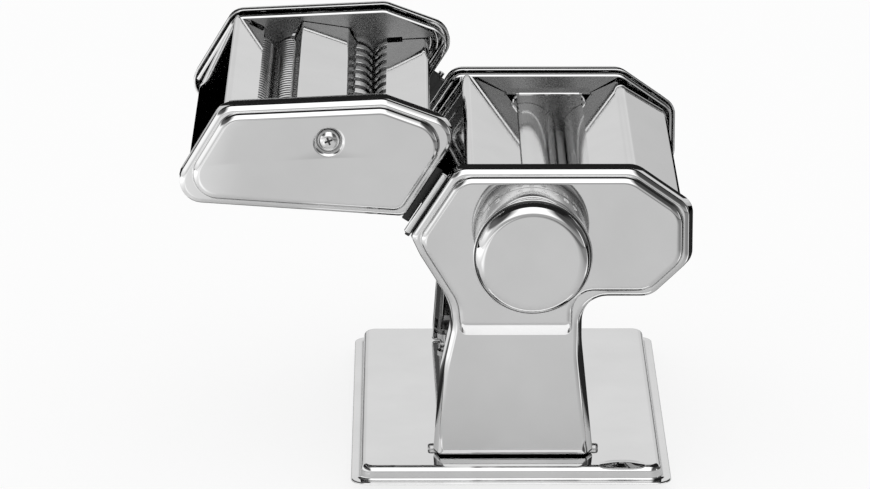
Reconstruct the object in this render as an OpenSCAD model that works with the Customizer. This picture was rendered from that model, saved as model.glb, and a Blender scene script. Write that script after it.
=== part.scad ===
// Pasta roller machine with a slide-on cutter head.
// Millimetres. X runs across the machine, Y from the dial side to the crank side, Z up from the table.
// The origin is on the table, under the middle of the base.

/* [Overall] */
// Distance between the outer bends of the two side plates
plate_span = 176; // [140:1:230]
// Height of the smooth rollers' axes above the table
axis_height = 111.4; // [90:0.2:140]
// Thickness of the pressed steel sheet
sheet = 1.0; // [0.8:0.1:1.2]
// Thickness of the hopper and cover sheet
cover_sheet = 0.8; // [0.6:0.1:1.0]

/* [Smooth rollers] */
// Diameter of the smooth rollers
roller_d = 28; // [23:0.5:34]
// Opening between the rollers at the middle dial setting
roller_opening = 2.1; // [1.8:0.1:2.6]
// Middle of the opening between the rollers, from the base's centre
nip_x = 24.25; // [20:0.25:28]
// Offset of the eccentric that moves the left roller
eccentric_offset = 2.8; // [2:0.1:3]
// Diameter of the eccentric shaft inside the left roller
eccentric_d = 10; // [8:0.5:12]
// Diameter of the shaft journals
journal_d = 9; // [7:0.5:11]

/* [Thickness dial] */
// Diameter of the dial's front lip
dial_d = 49.3; // [41:0.1:60]
// Length of the dial from the side plate to its front face
dial_length = 29.6; // [24:0.2:34]
// How far the dial pulls out
dial_pull = 4; // [3:0.5:4.5]
// Turn between two thickness settings, in degrees
setting_step = 12.5; // [8:0.5:13]

/* [Cutter head] */
// Diameter of the cutting rollers
cutter_d = 16.8; // [14:0.2:20.2]
// How deep the discs of a cutter pair reach into each other
cutter_mesh = 1.0; // [0.6:0.1:1.4]
// Width of a fine strip
fine_strip = 2.0; // [1.6:0.1:2.4]
// Width of a wide strip
wide_strip = 6.5; // [5:0.5:8]

/* [Base] */
// Length of the raised top along the machine's width
base_x = 128.7; // [110:0.1:160]
// How far the raised top runs past the side plates' bends
base_overrun = 12.7; // [11:0.1:20]
// Height of the raised top above the table
base_top = 11; // [10:0.5:14]
// Width of the rim around the raised top
rim_w = 4.2; // [3:0.1:8]

/* [Hidden] */
$fn = 64;

// Clearances
seat = 0.05;                          // between two pieces that are fastened together
run = 0.04;                           // radial, between a journal and its bush
free = 0.3;                           // between pieces that move past each other

// Places along Y, on the crank side; the dial side mirrors them
flange = 8;                           // how far a side plate's edge is turned back
step_depth = 3;                       // how far the side plate's face stands proud of its rim
step_w = 5;                           // width of that rim
ring_y = plate_span / 2;              // outside of the rim
face_y = ring_y + step_depth;         // outside of the raised face
wall_y = ring_y - 14;                 // wall beside the rollers' ends
guard_t = 1;
plate_t = 2;
plate_in = wall_y + guard_t + seat;   // inside of a bearing plate
plate_out = plate_in + plate_t;
cover_end = ring_y - flange - free;   // ends of the covers
roller_end = wall_y - free;
gear_in = cover_end + 0.6;
gear_w = 4.7;

// Smooth rollers
roller_r = roller_d / 2;
fixed_x = nip_x + roller_opening / 2 + roller_r;
moving_x = nip_x - roller_opening / 2 - roller_r;
rest_angle = 73.5;                    // direction of the eccentric at rest, from +X towards +Z
dial_x = moving_x - eccentric_offset * cos(rest_angle);
dial_z = axis_height - eccentric_offset * sin(rest_angle);
settings_up = 5;                      // settings towards a wider opening
settings_down = 4;                    // settings towards a closed one
bush_wall = 2;
bush_flange_r = roller_r - 5;
hub_outer = eccentric_d + 2 * bush_wall + 3;   // hub of the left roller where it passes the rear plate
ring_r = hub_outer / 2 + 1.75;                 // ring of the moving scraper round that hub

// Body outline
body_top = axis_height + roller_r + 14.3;
rail_angle = 57.2;                    // slope of the edge that carries the cutter head
rail_foot = [-43.4, axis_height - 2];
top_left = [rail_foot.x + (body_top - rail_foot.y) / tan(rail_angle), body_top];
right_x = fixed_x + roller_r + 23.9;
wing_z = axis_height - 29;
leg_z = base_top + free;
body_outline = [
    [-33.3, leg_z], [35.4, leg_z], [30.2, axis_height - 49], [30.4, wing_z], [right_x - 16.6, wing_z],
    [right_x, wing_z + 15.8], [right_x, body_top - 16.9], [right_x - 24, body_top], top_left, rail_foot,
    [-38.6, axis_height - 12.4], [-27.2, axis_height - 31], [-26, axis_height - 41.4], [-30.6, axis_height - 63]
];
body_radii = [1.5, 1.5, 60, 12, 6, 6, 6, 6, 6, 4.5, 12, 20, 20, 60];
// The raised face stops above the leg
raised_outline = [
    [-25.7, axis_height - 45.4], [30.2, axis_height - 45.4], for (i = [3:11]) body_outline[i]
];
raised_radii = [1.5, 1.5, 11, 3, 3, 3, 3, 3, 2.5, 15, 20];

// Hopper and covers
panel_slope = 27.3;
panel_gap = 0.55;                     // above the roller it covers
left_edge = [5, axis_height + roller_r + 0.2 + panel_gap + cover_sheet - 0.15];
right_edge = [fixed_x - 4.7, left_edge.y + 0.3];
left_fold = [left_edge.x - 23.3, left_edge.y + 23.3 * tan(panel_slope)];
right_fold = [right_edge.x + 16.9, right_edge.y + 16.9 * tan(panel_slope)];
cover_low = axis_height - 25.4;
// Outer profile of the covers, from the left roller edge round the body to the right roller edge
cover_outline = [
    left_edge, left_fold, [rail_foot.x + 4.6, axis_height - 3.4], [-27.5, cover_low],
    [right_x - 18.6, cover_low], [right_x - 3.6, axis_height - 11.4], [right_x - 4.4, right_fold.y - 14], right_fold,
    right_edge
];
cover_radii = [0.4, 3, 4, 3, 4, 4, 4, 5, 0.4];
cover_foot = 12;                      // width of the covers' turned-in lower edges
ledge_z = left_edge.y + 2.4;
ledge_depth = 4;

// Tie rods
rod_d = 8;
rod_spigot = 5;
boss_d = 10;
body_rods = [
    [-27.5, axis_height + 0.5], [-21, axis_height - 18], [right_x - 12.5, axis_height + 5],
    [right_x - 20.2, axis_height - 16]
];

// Dial
skirt_d = dial_d - 1.8;
cap_l = 12.8;
dial_wall = 1.5;
dial_in = face_y + 0.4;
dial_out = face_y + dial_length;
web_in = dial_in + 4;
web_t = 3.2;
pin_circle = skirt_d / 2 - 6.7;
pin_d = 4;
flat_depth = 1;                       // flat on the shaft that turns the dial
screw_head = 3;
shaft_front = dial_out - dial_wall - screw_head - 5.9;
spring_turns = 4;

// Cutter head: places relative to the smooth rollers' axes
cutter_r = cutter_d / 2;
pair_distance = cutter_d - cutter_mesh;
fine_z = axis_height + 36.4;
wide_z = axis_height + 33.8;
fine_x = -103.5;
wide_x = -59.2;
fine_left = [fine_x - pair_distance / 2, fine_z];
fine_right = [fine_x + pair_distance / 2, fine_z];
wide_left = [wide_x - pair_distance / 2, wide_z];
wide_right = [wide_x + pair_distance / 2, wide_z];
fine_top = fine_z + cutter_r;
wide_top = wide_z + cutter_r;
hook_gap = 6.3;                       // between the body's edge and the head's edge
along = [cos(rail_angle), sin(rail_angle)];
across = [-sin(rail_angle), cos(rail_angle)];
function rail(t, s) = rail_foot + t * along + s * across;
head_outline = [
    rail(6.2, hook_gap), rail(53.5, hook_gap), [-53.8, fine_top + 14.2], [-122.6, fine_top + 11.1],
    [-148, fine_z - 22.5]
];
head_radii = [5, 9, 8, 8, 10];
head_raised_radii = [3, 5, 5, 5, 5.5];

// Head panels
fine_edge_l = [-108.4, fine_top + 3.7];
fine_fold = [fine_edge_l.x - 12.6, fine_edge_l.y + 12.6 * tan(27.2)];
centre_l = [-91, fine_top + 7.4];
centre_r = [-70.2, centre_l.y - 20.8 * tan(8.5)];
skirt_l = [fine_right.x + 0.7, fine_top + 0.6];
skirt_r = [wide_left.x + 0.1, wide_top + 0.6];
wide_edge_r = [wide_x + 5.8, wide_top + 1.1];
head_side = hook_gap + 9;             // the cover's side, inside the head's right edge
wide_fold = rail(45.5, head_side);
head_low = fine_z - 17;
head_left_line = [
    fine_edge_l, fine_fold, [-139, fine_z - 14.5], [-133, head_low - 3.2], [-121, head_low - 4.4]
];
head_right_line = [[-58.5, head_low - 6.2], rail(9.5, head_side), wide_fold, wide_edge_r];
head_rods = [[-77.4, fine_z + 4.8], [-124.5, fine_z - 12.8], rail(14, 20.2)];
head_rod_d = 6;
head_screw_d = 3;
dimple_r = 5.4;

// Gears: trapezoid teeth, deep enough to stay in mesh over the dial's whole travel
body_teeth = 10;
body_gear_tip = roller_r + 2.6;
body_gear_root = roller_r - 2.9;
head_teeth = 12;
head_gear_tip = pair_distance / 2 + 1.0;
head_gear_root = pair_distance / 2 - 1.5;

// ---- plane geometry ----

function unit(v) = v / norm(v);
function wrap(i, n) = (i + n) % n;

// Arc of radius r in the corner b of the path a, b, c
function corner(a, b, c, r, step = 15) =
    let (u = unit(a - b), v = unit(c - b), half = acos(max(-1, min(1, u * v))) / 2,
        o = b + unit(u + v) * r / sin(half), s = b + u * r / tan(half), e = b + v * r / tan(half),
        a0 = atan2(s.y - o.y, s.x - o.x), a1 = atan2(e.y - o.y, e.x - o.x),
        sweep = (a1 - a0 + 540) % 360 - 180, n = max(1, ceil(abs(sweep) / step)))
    [for (i = [0:n]) o + r * [cos(a0 + sweep * i / n), sin(a0 + sweep * i / n)]];

function rounded(p, r) =
    let (n = len(p))
    [for (i = [0:n - 1]) each corner(p[wrap(i - 1, n)], p[i], p[wrap(i + 1, n)], is_list(r) ? r[i] : r)];

// Corners of a counter-clockwise outline moved inwards by d
function inset(p, d) =
    let (n = len(p))
    [for (i = [0:n - 1])
        let (u = unit(p[i] - p[wrap(i - 1, n)]), v = unit(p[wrap(i + 1, n)] - p[i]),
            nu = [-u.y, u.x], nv = [-v.y, v.x])
        p[i] + d * (nu + nv) / (1 + nu * nv)];

// Corner radii that go with inset()
function inset_radii(p, r, d) =
    let (n = len(p))
    [for (i = [0:n - 1])
        let (bend = cross(p[i] - p[wrap(i - 1, n)], p[wrap(i + 1, n)] - p[i]))
        max(0.3, bend > 0 ? r[i] - d : r[i] + d)];

// An open path with its inner corners rounded
function rounded_path(p, r) =
    [p[0], for (i = [1:len(p) - 2]) each corner(p[i - 1], p[i], p[i + 1], r[i]), p[len(p) - 1]];

// The same path moved to its left by d
function beside(p, d) =
    let (n = len(p))
    [for (i = [0:n - 1])
        let (u = unit(i == 0 ? p[1] - p[0] : p[i] - p[i - 1]), v = unit(i == n - 1 ? p[i] - p[i - 1] : p[i + 1] - p[i]),
            nu = [-u.y, u.x], nv = [-v.y, v.x])
        p[i] + d * (nu + nv) / (1 + nu * nv)];

function reversed(p) = [for (i = [len(p) - 1:-1:0]) p[i]];

// ---- solids ----

// An outline in the XZ plane, from y0 to y1
module slab(y0, y1)
    translate([0, y1, 0]) rotate([90, 0, 0]) linear_extrude(y1 - y0) children();

// A round bar along Y at a point of the XZ plane
module bar(p, d, y0, y1)
    translate([p.x, y1, p.y]) rotate([90, 0, 0]) cylinder(h = y1 - y0, d = d);

// The crank side as it is, the dial side as its mirror image
module crank_side() children();
module dial_side() mirror([0, 1, 0]) children();
module both_sides() {
    crank_side() children();
    dial_side() children();
}

// A bent sheet of thickness t that follows a path, on the path's left, between y0 and y1
module bent_sheet(p, r, t, y0, y1) {
    low = beside(p, t);
    low_r = [for (i = [0:len(p) - 1])
        i == 0 || i == len(p) - 1 ? 0
            : max(0.3, r[i] + (cross(p[i] - p[i - 1], p[i + 1] - p[i]) > 0 ? -t : t))];
    slab(y0, y1) polygon(concat(rounded_path(p, r), reversed(rounded_path(low, low_r))));
}

// A pressed pan: turned-back flange, flat rim and a raised face
module pressed_plate(outline, radii, raised, raised_radii) {
    difference() {
        union() {
            slab(ring_y - flange, ring_y) polygon(rounded(outline, radii));
            slab(ring_y - sheet, face_y) polygon(rounded(inset(raised, step_w), raised_radii));
        }
        slab(ring_y - flange - 1, ring_y - sheet)
            polygon(rounded(inset(outline, sheet), inset_radii(outline, radii, sheet)));
        slab(ring_y - 2 * sheet, face_y - sheet)
            polygon(rounded(inset(raised, step_w + sheet), inset_radii(raised, raised_radii, sheet)));
    }
}

// A spur gear with n trapezoid teeth, its first tooth turned to the angle phase
function gear_outline(n, root, tip, phase, root_share = 0.38, tip_share = 0.13) =
    [for (i = [0:n - 1], k = [[root, -root_share], [tip, -tip_share], [tip, tip_share], [root, root_share]])
        let (a = phase + (i + k[1] / 2) * 360 / n)
        k[0] * [cos(a), sin(a)]];

module gear(p, n, root, tip, phase, bore, y0, y1) {
    difference() {
        translate([p.x, 0, p.y]) slab(y0, y1) polygon(gear_outline(n, root, tip, phase));
        bar(p, bore, y0 - 1, y1 + 1);
    }
}

// A flanged bush on a journal of diameter d
module flanged_bush(p, d, y0, y1, flange_y, flange_h) {
    difference() {
        union() {
            bar(p, d + 2 * bush_wall, min(y0, flange_y), max(y1, flange_y + flange_h));
            bar(p, d + 2 * bush_wall + 4, flange_y, flange_y + flange_h);
        }
        bar(p, d + 2 * run, min(y0, flange_y) - 1, max(y1, flange_y + flange_h) + 1);
    }
}

// ---- base ----

module base_block(grow, r, z0, z1)
    translate([0, 0, z0]) linear_extrude(z1 - z0)
        polygon(rounded([
            [-base_x / 2 - grow, -ring_y - base_overrun - grow], [base_x / 2 + grow, -ring_y - base_overrun - grow],
            [base_x / 2 + grow, ring_y + base_overrun + grow], [-base_x / 2 - grow, ring_y + base_overrun + grow]
        ], r));

foot_h = 4.2;                         // the rim clears the table by the feet
foot_x = base_x / 2 - 14.8;
foot_y = ring_y - 4;
bar_x = [-27, 29];                    // screws of the foot bars
bar_y = ring_y - flange - 4.5;

module base_tray() color("gainsboro") {
    difference() {
        union() {
            base_block(0, 5, foot_h, base_top);
            base_block(rim_w, 7, foot_h, foot_h + sheet);
        }
        base_block(-sheet, 4, foot_h - 1, base_top - sheet);
        for (x = bar_x, s = [-1, 1]) translate([x, s * bar_y, 0]) cylinder(h = 2 * base_top, d = 4.3);
    }
}

module foot(sx, sy) color([0.06, 0.06, 0.06])
    translate([sx * foot_x, sy * foot_y, 0])
        difference() {
            union() {
                translate([0, 0, 0.8]) linear_extrude(base_top - sheet - seat - 0.8)
                    polygon(rounded([[-12.5, -9], [12.5, -9], [12.5, 9], [-12.5, 9]], 3));
                for (i = [-2:2]) translate([i * 5, 0, 0.8])
                    rotate([90, 0, 0]) translate([0, 0, -8]) intersection() {
                        cylinder(h = 16, d = 4);
                        translate([-2, -0.8, 0]) cube([4, 0.85, 16]);
                    }
            }
            translate([0, 0, 3]) cylinder(h = base_top, d = 4.1);
        }

module foot_front_left() foot(-1, -1);
module foot_front_right() foot(1, -1);
module foot_rear_left() foot(-1, 1);
module foot_rear_right() foot(1, 1);

// Studs welded under the tray, pressed into the feet
module foot_studs() color("silver")
    for (sx = [-1, 1], sy = [-1, 1])
        translate([sx * foot_x, sy * foot_y, 3.2]) cylinder(h = base_top - sheet - seat - 3.2, d = 4);

// Bars welded inside the legs, their round ends showing on both sides
module foot_bars() color("silver")
    both_sides() difference() {
        translate([0, bar_y, base_top]) linear_extrude(3)
            polygon(rounded([[-38.5, -4.4], [40.5, -4.4], [40.5, 4.4], [-38.5, 4.4]], 4.39));
        for (x = bar_x) translate([x, bar_y, 0]) cylinder(h = 2 * base_top, d = 4.3);
    }

module foot_bar_screws() color("silver")
    for (x = bar_x, s = [-1, 1]) translate([x, s * bar_y, 0]) {
        translate([0, 0, base_top - 6]) cylinder(h = 9.1, d = 4);
        translate([0, 0, base_top + 3 + seat]) cylinder(h = 2.2, d = 7.4);
    }

module foot_bar_nuts() color("silver")
    for (x = bar_x, s = [-1, 1]) translate([x, s * bar_y, base_top - sheet - seat - 3]) difference() {
        cylinder(h = 3, d = 8, $fn = 6);
        translate([0, 0, -1]) cylinder(h = 5, d = 4 + 2 * run);
    }

// ---- body frame ----

dial_point = [dial_x, dial_z];
function on_dial(r, a) = dial_point + r * [cos(a), sin(a)];
fixed_point = [fixed_x, axis_height];
moving_point = [moving_x, axis_height];

module body_plate()
    pressed_plate(body_outline, body_radii, raised_outline, raised_radii);

module front_side_plate() color("gainsboro")
    dial_side() difference() {
        body_plate();
        bar(dial_point, journal_d + 3, face_y - 2, face_y + 1);
        // Arc slot for the stop pin, with a scallop at each setting
        for (i = [-settings_down:settings_up])
            bar(on_dial(pin_circle, 90 + i * setting_step), pin_d + 1.4, face_y - 2, face_y + 1);
        slab(face_y - 2, face_y + 1) polygon(concat(
            [for (i = [-settings_down:0.25:settings_up])
                on_dial(pin_circle + pin_d / 2 + 0.4, 90 + i * setting_step)],
            [for (i = [settings_up:-0.25:-settings_down])
                on_dial(pin_circle - pin_d / 2 - 0.4, 90 + i * setting_step)]));
    }

socket_d = 14;                        // outside of the crank socket
socket_bore = 8;
socket_depth = 9;
socket_end = face_y + 5;

module rear_side_plate() color("gainsboro")
    difference() {
        body_plate();
        bar(fixed_point, socket_d + 2, face_y - 2, face_y + 1);
        bar(dial_point, journal_d + 2 * bush_wall + 2 * run, face_y - 2, face_y + 1);
    }

// The bearing plate fills the covers' profile, under the hopper
module bearing_blank() {
    inner = inset(cover_outline, cover_sheet + seat);
    slab(plate_in, plate_out) polygon(rounded(inner, inset_radii(cover_outline, cover_radii, cover_sheet + seat)));
}

scraper_angle = -125;                 // direction of the moving scraper and its guide pins, from the roller
guide_pin_d = 2.4;
guide_offset = (roller_r + 2) * [cos(scraper_angle), sin(scraper_angle)];

module bearing_cuts() {
    bar(fixed_point, journal_d + 2 * bush_wall + 2 * run, plate_in - 1, plate_out + 1);
    for (p = body_rods) bar(p, rod_spigot + 2 * run, plate_in - 1, plate_out + 1);
    bar(dial_point + guide_offset, guide_pin_d + 2 * (eccentric_offset + free), plate_in - 1, plate_out + 1);
}

module front_bearing_plate() color("silver")
    dial_side() difference() {
        bearing_blank();
        bearing_cuts();
        bar(dial_point, journal_d + 2 * bush_wall + 2 * run, plate_in - 1, plate_out + 1);
    }

module rear_bearing_plate() color("silver")
    difference() {
        bearing_blank();
        bearing_cuts();
        bar(dial_point, hub_outer + 2 * (eccentric_offset + free), plate_in - 1, plate_out + 1);
    }

module tie_rods() color("silver")
    for (p = body_rods) {
        bar(p, rod_d, -plate_in + seat, plate_in - seat);
        bar(p, rod_spigot, -plate_out - 8, plate_out + 8);
    }

// Tapped bosses welded inside the side plates
module plate_bosses() color("silver")
    both_sides() for (p = body_rods) difference() {
        bar(p, boss_d, plate_out + seat, face_y - sheet - seat);
        bar(p, rod_spigot + 2 * run, plate_out - 1, plate_out + 9);
    }

left_line = [left_edge, left_fold, cover_outline[2], cover_outline[3], cover_outline[3] + [cover_foot, 0]];
right_line = [cover_outline[4] - [cover_foot, 0], cover_outline[4], cover_outline[5], cover_outline[6], right_fold,
    right_edge];

module left_cover() color("whitesmoke")
    bent_sheet(left_line, [0, 3, 4, 3, 0], cover_sheet, -cover_end, cover_end);

module right_cover() color("whitesmoke")
    bent_sheet(right_line, [0, 4, 4, 4, 5, 0], cover_sheet, -cover_end, cover_end);

// Wall at the rollers' ends, a rolled ledge and a wall that stands on it
module end_guard() {
    wall_l = left_edge.x - (ledge_z - left_edge.y) / tan(panel_slope) + free;
    wall_r = right_edge.x + (ledge_z - right_edge.y) / tan(panel_slope) - free;
    top = body_top - sheet - 0.6;
    top_l = left_edge.x - (top - left_edge.y) / tan(panel_slope) + 1.6;
    top_r = right_fold.x - 0.6;
    // Upper wall
    slab(wall_y + ledge_depth, wall_y + ledge_depth + guard_t)
        polygon([[wall_l, ledge_z], [wall_r, ledge_z], [top_r, right_fold.y + 0.4], [top_r, top], [top_l, top]]);
    // Ledge with a rolled edge over the rollers
    slab(wall_y + 1, wall_y + ledge_depth + 0.2)
        polygon([[wall_l, ledge_z], [wall_r, ledge_z], [wall_r, ledge_z + guard_t], [wall_l, ledge_z + guard_t]]);
    translate([left_edge.x, wall_y + 1, ledge_z]) rotate([0, 90, 0])
        cylinder(h = right_edge.x - left_edge.x, r = 1);
    // Lower wall, cut round the rollers' bearings
    difference() {
        slab(wall_y, wall_y + guard_t) polygon([
            [left_edge.x + 0.2, ledge_z], [left_edge.x + 0.2, axis_height + 4], [nip_x - 3.5, axis_height + 1],
            [nip_x + 3.5, axis_height + 1], [right_edge.x - 0.2, axis_height + 4], [right_edge.x - 0.2, ledge_z]]);
        bar(dial_point, 2 * (ring_r + eccentric_offset + free), wall_y - 1, wall_y + 2);
        bar(fixed_point, 2 * (bush_flange_r + 1), wall_y - 1, wall_y + 2);
    }
}

module front_end_guard() color("lightgray") dial_side() end_guard();
module rear_end_guard() color("lightgray") end_guard();

// Scraper blade under a roller: a strip that points at the roller along a radius
module blade(p, angle, gap, reach, y0, y1)
    translate([p.x, 0, p.y]) slab(y0, y1) rotate(angle)
        polygon([[roller_r + gap, -0.5], [roller_r + reach, -1.2], [roller_r + reach, 1.2], [roller_r + gap, 0.5]]);

fixed_scraper_angle = -70;

module fixed_scraper() color("silver") {
    blade(fixed_point, fixed_scraper_angle, 0.35, 8, -plate_in + seat, plate_in - seat);
    translate([fixed_x, 0, axis_height]) slab(-plate_in + seat, plate_in - seat) rotate(fixed_scraper_angle)
        translate([roller_r + 6, -3.5]) square([2.5, 7]);
}

module drive_bushes() color("goldenrod")
    both_sides() flanged_bush(fixed_point, journal_d, plate_in, plate_out + 0.6, plate_in - 0.9, 0.85);

module dial_bushes() color("goldenrod") {
    dial_side() flanged_bush(dial_point, journal_d, plate_in, plate_out, plate_out + seat, 1);
    crank_side() flanged_bush(dial_point, journal_d, face_y - sheet, face_y, face_y - sheet - seat - 1, 1);
}

// Flat spring over the index wheel, riveted to the front bearing plate
wheel_r = 12;
wheel_in = plate_out + 2.2;
wheel_t = 3;
nose_r = 1.2;

module index_spring() color("silver")
    dial_side() {
        nose = dial_point + [0, wheel_r + free + nose_r];
        slab(wheel_in - 0.5, wheel_in + wheel_t + 0.5) difference() {
            union() {
                translate(nose) circle(r = nose_r);
                translate(nose + [-18, nose_r - 0.8]) square([18, 0.8]);
            }
        }
        bar(nose + [-16, nose_r + 1.2], 6, plate_out + seat, wheel_in + wheel_t + 0.5);
    }

// ---- rails for the cutter head ----

rail_from = 0.6;
rail_to = 33;
rail_y = ring_y - flange / 2;

module rail_strip(s0, s1, w, t0 = rail_from, t1 = rail_to)
    slab(rail_y - w / 2, rail_y + w / 2) polygon([rail(t0, s0), rail(t1, s0), rail(t1, s1), rail(t0, s1)]);

module head_rails() color("gainsboro")
    both_sides() {
        rail_strip(seat, 2.1, 1.6);
        rail_strip(2, 3.1, 5.2);
        // Stop that the head's hook rests on
        rail_strip(seat, 4.6, 5.2, rail_from - 1.5, rail_from + 0.01);
    }

// Spring clip that marks the top of each rail
module rail_clips() color([0.12, 0.12, 0.12])
    both_sides() {
        rail_strip(seat, 2.1, 1.6, rail_to + seat, rail_to + 1.6);
        rail_strip(2, 3.1, 5, rail_to + seat, rail_to + 2.4);
    }

module hook() {
    difference() {
        rail_strip(1.0, 4.8, 7.6, rail_from + seat, rail_to - 2);
        rail_strip(1.75, 3.45, 5.9, rail_from - 1, rail_to);
        rail_strip(0, 2.5, 2.3, rail_from - 1, rail_to);
    }
    rail_strip(4.7, hook_gap - seat, 4, rail_from + 6, rail_to - 2);
}

module head_hooks() color("gainsboro") both_sides() hook();

// ---- dial, eccentric shaft ----

module eccentric_shaft() color("silver") {
    // Journals on the dial's axis
    difference() {
        dial_side() bar(dial_point, journal_d, plate_in - 0.12, shaft_front);
        dial_side() translate([dial_x + journal_d / 2 - flat_depth, web_in - 1.5, dial_z - journal_d])
            cube([journal_d, shaft_front, 2 * journal_d]);
        dial_side() bar(dial_point, 4.2, shaft_front - 7, shaft_front + 1);
    }
    crank_side() bar(dial_point, journal_d, gear_in + gear_w + 0.6, face_y + 0.4);
    // The part that carries the left roller
    bar(moving_point, eccentric_d, -plate_in + 0.06, gear_in + gear_w + 0.65);
}

module index_wheel() color("silver")
    dial_side() difference() {
        bar(dial_point, 2 * wheel_r, wheel_in, wheel_in + wheel_t);
        bar(dial_point, journal_d + 2 * seat, wheel_in - 1, wheel_in + wheel_t + 1);
        for (i = [-settings_up:settings_down]) let (a = 90 + i * setting_step)
            bar(dial_point + (wheel_r + 0.5) * [cos(a), sin(a)], 2.2, wheel_in - 1, wheel_in + wheel_t + 1);
    }

module dial_screw() color("silver")
    dial_side() {
        bar(dial_point, 4.1, shaft_front - 6.5, shaft_front + 1);
        bar(dial_point, journal_d + 6, shaft_front + seat, shaft_front + 1.3);
        bar(dial_point, journal_d - 1, shaft_front + 1.2, shaft_front + screw_head);
    }

module dial_skirt() color("silver")
    dial_side() difference() {
        union() {
            difference() {
                bar(dial_point, skirt_d, dial_in, dial_out - cap_l);
                bar(dial_point, skirt_d - 2 * dial_wall, dial_in - 1, dial_out);
            }
            bar(dial_point, skirt_d - dial_wall, web_in, web_in + web_t);
        }
        // Bore with a flat for the shaft
        difference() {
            bar(dial_point, journal_d + 2 * seat, web_in - 1, web_in + web_t + 1);
            translate([dial_x + journal_d / 2 - flat_depth + seat, web_in - 2, dial_z - journal_d])
                cube([journal_d, web_t + 4, 2 * journal_d]);
        }
        bar(on_dial(pin_circle, 90), pin_d + 2 * run, web_in - 1, web_in + web_t + 1);
    }

// Cap with a rounded lip, turned as one profile
module dial_cap() color("gainsboro") {
    r = dial_d / 2;
    round_r = 3.8;
    profile = concat(
        [[0, dial_out - dial_wall], [0, dial_out]],
        [for (a = [90:-10:0]) [r - round_r + round_r * cos(a), dial_out - round_r + round_r * sin(a)]],
        [[r, dial_out - cap_l + 0.8], [r - 0.6, dial_out - cap_l], [skirt_d / 2 - dial_wall - seat, dial_out - cap_l + seat],
         [skirt_d / 2 - dial_wall - seat, dial_out - round_r - 0.4]],
        [for (a = [0:15:90]) [r - round_r - 0.7 + 2 * cos(a), dial_out - round_r + 2 * sin(a)]]
    );
    translate([dial_x, 0, dial_z]) rotate([90, 0, 0]) rotate_extrude() polygon(profile);
}

module stop_pin() color("silver")
    dial_side() {
        bar(on_dial(pin_circle, 90), pin_d, face_y + 1.6 - dial_pull, web_in + web_t);
    }

// Compression spring between the dial's web and the screw's head
module dial_spring() color("dimgray") {
    wire = 0.6;
    coil_r = journal_d / 2 + 1.6;
    y0 = web_in + web_t + wire + seat;
    y1 = shaft_front - wire;
    steps = 16 * spring_turns;
    sides = 6;
    points = [for (i = [0:steps], k = [0:sides - 1])
        let (a = 360 * i / 16, q = 360 * k / sides, r = coil_r + wire * cos(q))
        [dial_x + r * cos(a), -(y0 + (y1 - y0) * i / steps + wire * sin(q)), dial_z + r * sin(a)]];
    faces = concat(
        [[for (k = [0:sides - 1]) k]],
        [for (i = [0:steps - 1], k = [0:sides - 1])
            let (a = i * sides + k, b = i * sides + (k + 1) % sides) [a, a + sides, b + sides, b]],
        [[for (k = [sides - 1:-1:0]) steps * sides + k]]);
    polyhedron(points, faces);
}

// ---- left roller: it turns on a bush and a sleeve that the eccentric carries round ----

bush_od = eccentric_d + 2 * bush_wall;
bush_l = 14;
arm_in = wall_y - 0.15;               // inside of the moving scraper's arms
arm_out = wall_y + 0.8;

// Bush on the dial side: it is held by the scraper's arm, so it moves with the eccentric but doesn't turn
module guide_bush() color("goldenrod")
    dial_side() difference() {
        union() {
            bar(moving_point, bush_od, roller_end - bush_l, arm_out);
            bar(moving_point, 2 * bush_flange_r, roller_end + 0.15, arm_out);
        }
        bar(moving_point, eccentric_d + 2 * run, roller_end - bush_l - 1, wall_y + 3);
    }

module scraper_arm(hole_r) {
    slab(arm_in, arm_out) translate(moving_point) rotate(scraper_angle) difference() {
        union() {
            translate([0, -4]) square([roller_r + 7, 8]);
            circle(r = min(hole_r + 1.6, ring_r));
        }
        circle(r = hole_r);
    }
    bar(moving_point + guide_offset, guide_pin_d, wall_y, plate_out);
}

// Scraper that hangs from the bush and from a ring on the hub, and follows the left roller
module moving_scraper() color("silver") {
    blade(moving_point, scraper_angle, 0.25, 7, -arm_out, arm_out);
    dial_side() scraper_arm(bush_flange_r + seat);
    crank_side() scraper_arm(hub_outer / 2 + run);
}

// Sleeve pressed into the roller on the crank side
module roller_sleeve() color("goldenrod")
    difference() {
        bar(moving_point, bush_od, roller_end - bush_l, roller_end);
        bar(moving_point, eccentric_d + 2 * run, roller_end - bush_l - 1, roller_end + 1);
    }

module adjustable_roller() color("gainsboro")
    difference() {
        union() {
            bar(moving_point, roller_d, -roller_end, roller_end);
            bar(moving_point, hub_outer, roller_end - 1, gear_in + gear_w);
        }
        bar(moving_point, eccentric_d + 4 * run, -roller_end - 1, gear_in + gear_w + 1);
        // Counterbores for the bush and the sleeve
        both_sides() bar(moving_point, bush_od + 2 * run, roller_end - bush_l - 0.2, roller_end + seat);
    }

module adjustable_gear() color("silver")
    gear(moving_point, body_teeth, body_gear_root, body_gear_tip, 0, hub_outer + 2 * seat,
        gear_in, gear_in + gear_w);

// ---- right roller, driven by the crank ----

// Round bore for the crank's end, with a pocket at its bottom for the crank's flat tip
module crank_socket_cut(p, bore, depth) {
    bar(p, bore, socket_end - depth, socket_end + 1);
    translate([p.x - bore / 2 + 0.2, socket_end - depth - 1.5, p.y - bore / 5])
        cube([bore - 0.4, 2, bore / 2.5]);
}

module drive_roller() color("gainsboro")
    difference() {
        union() {
            bar(fixed_point, roller_d, -roller_end, roller_end);
            bar(fixed_point, journal_d, -plate_out - 1, gear_in + gear_w + 1);
            bar(fixed_point, socket_d, gear_in + gear_w + seat, socket_end);
        }
        crank_socket_cut(fixed_point, socket_bore, socket_depth);
    }

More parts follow.
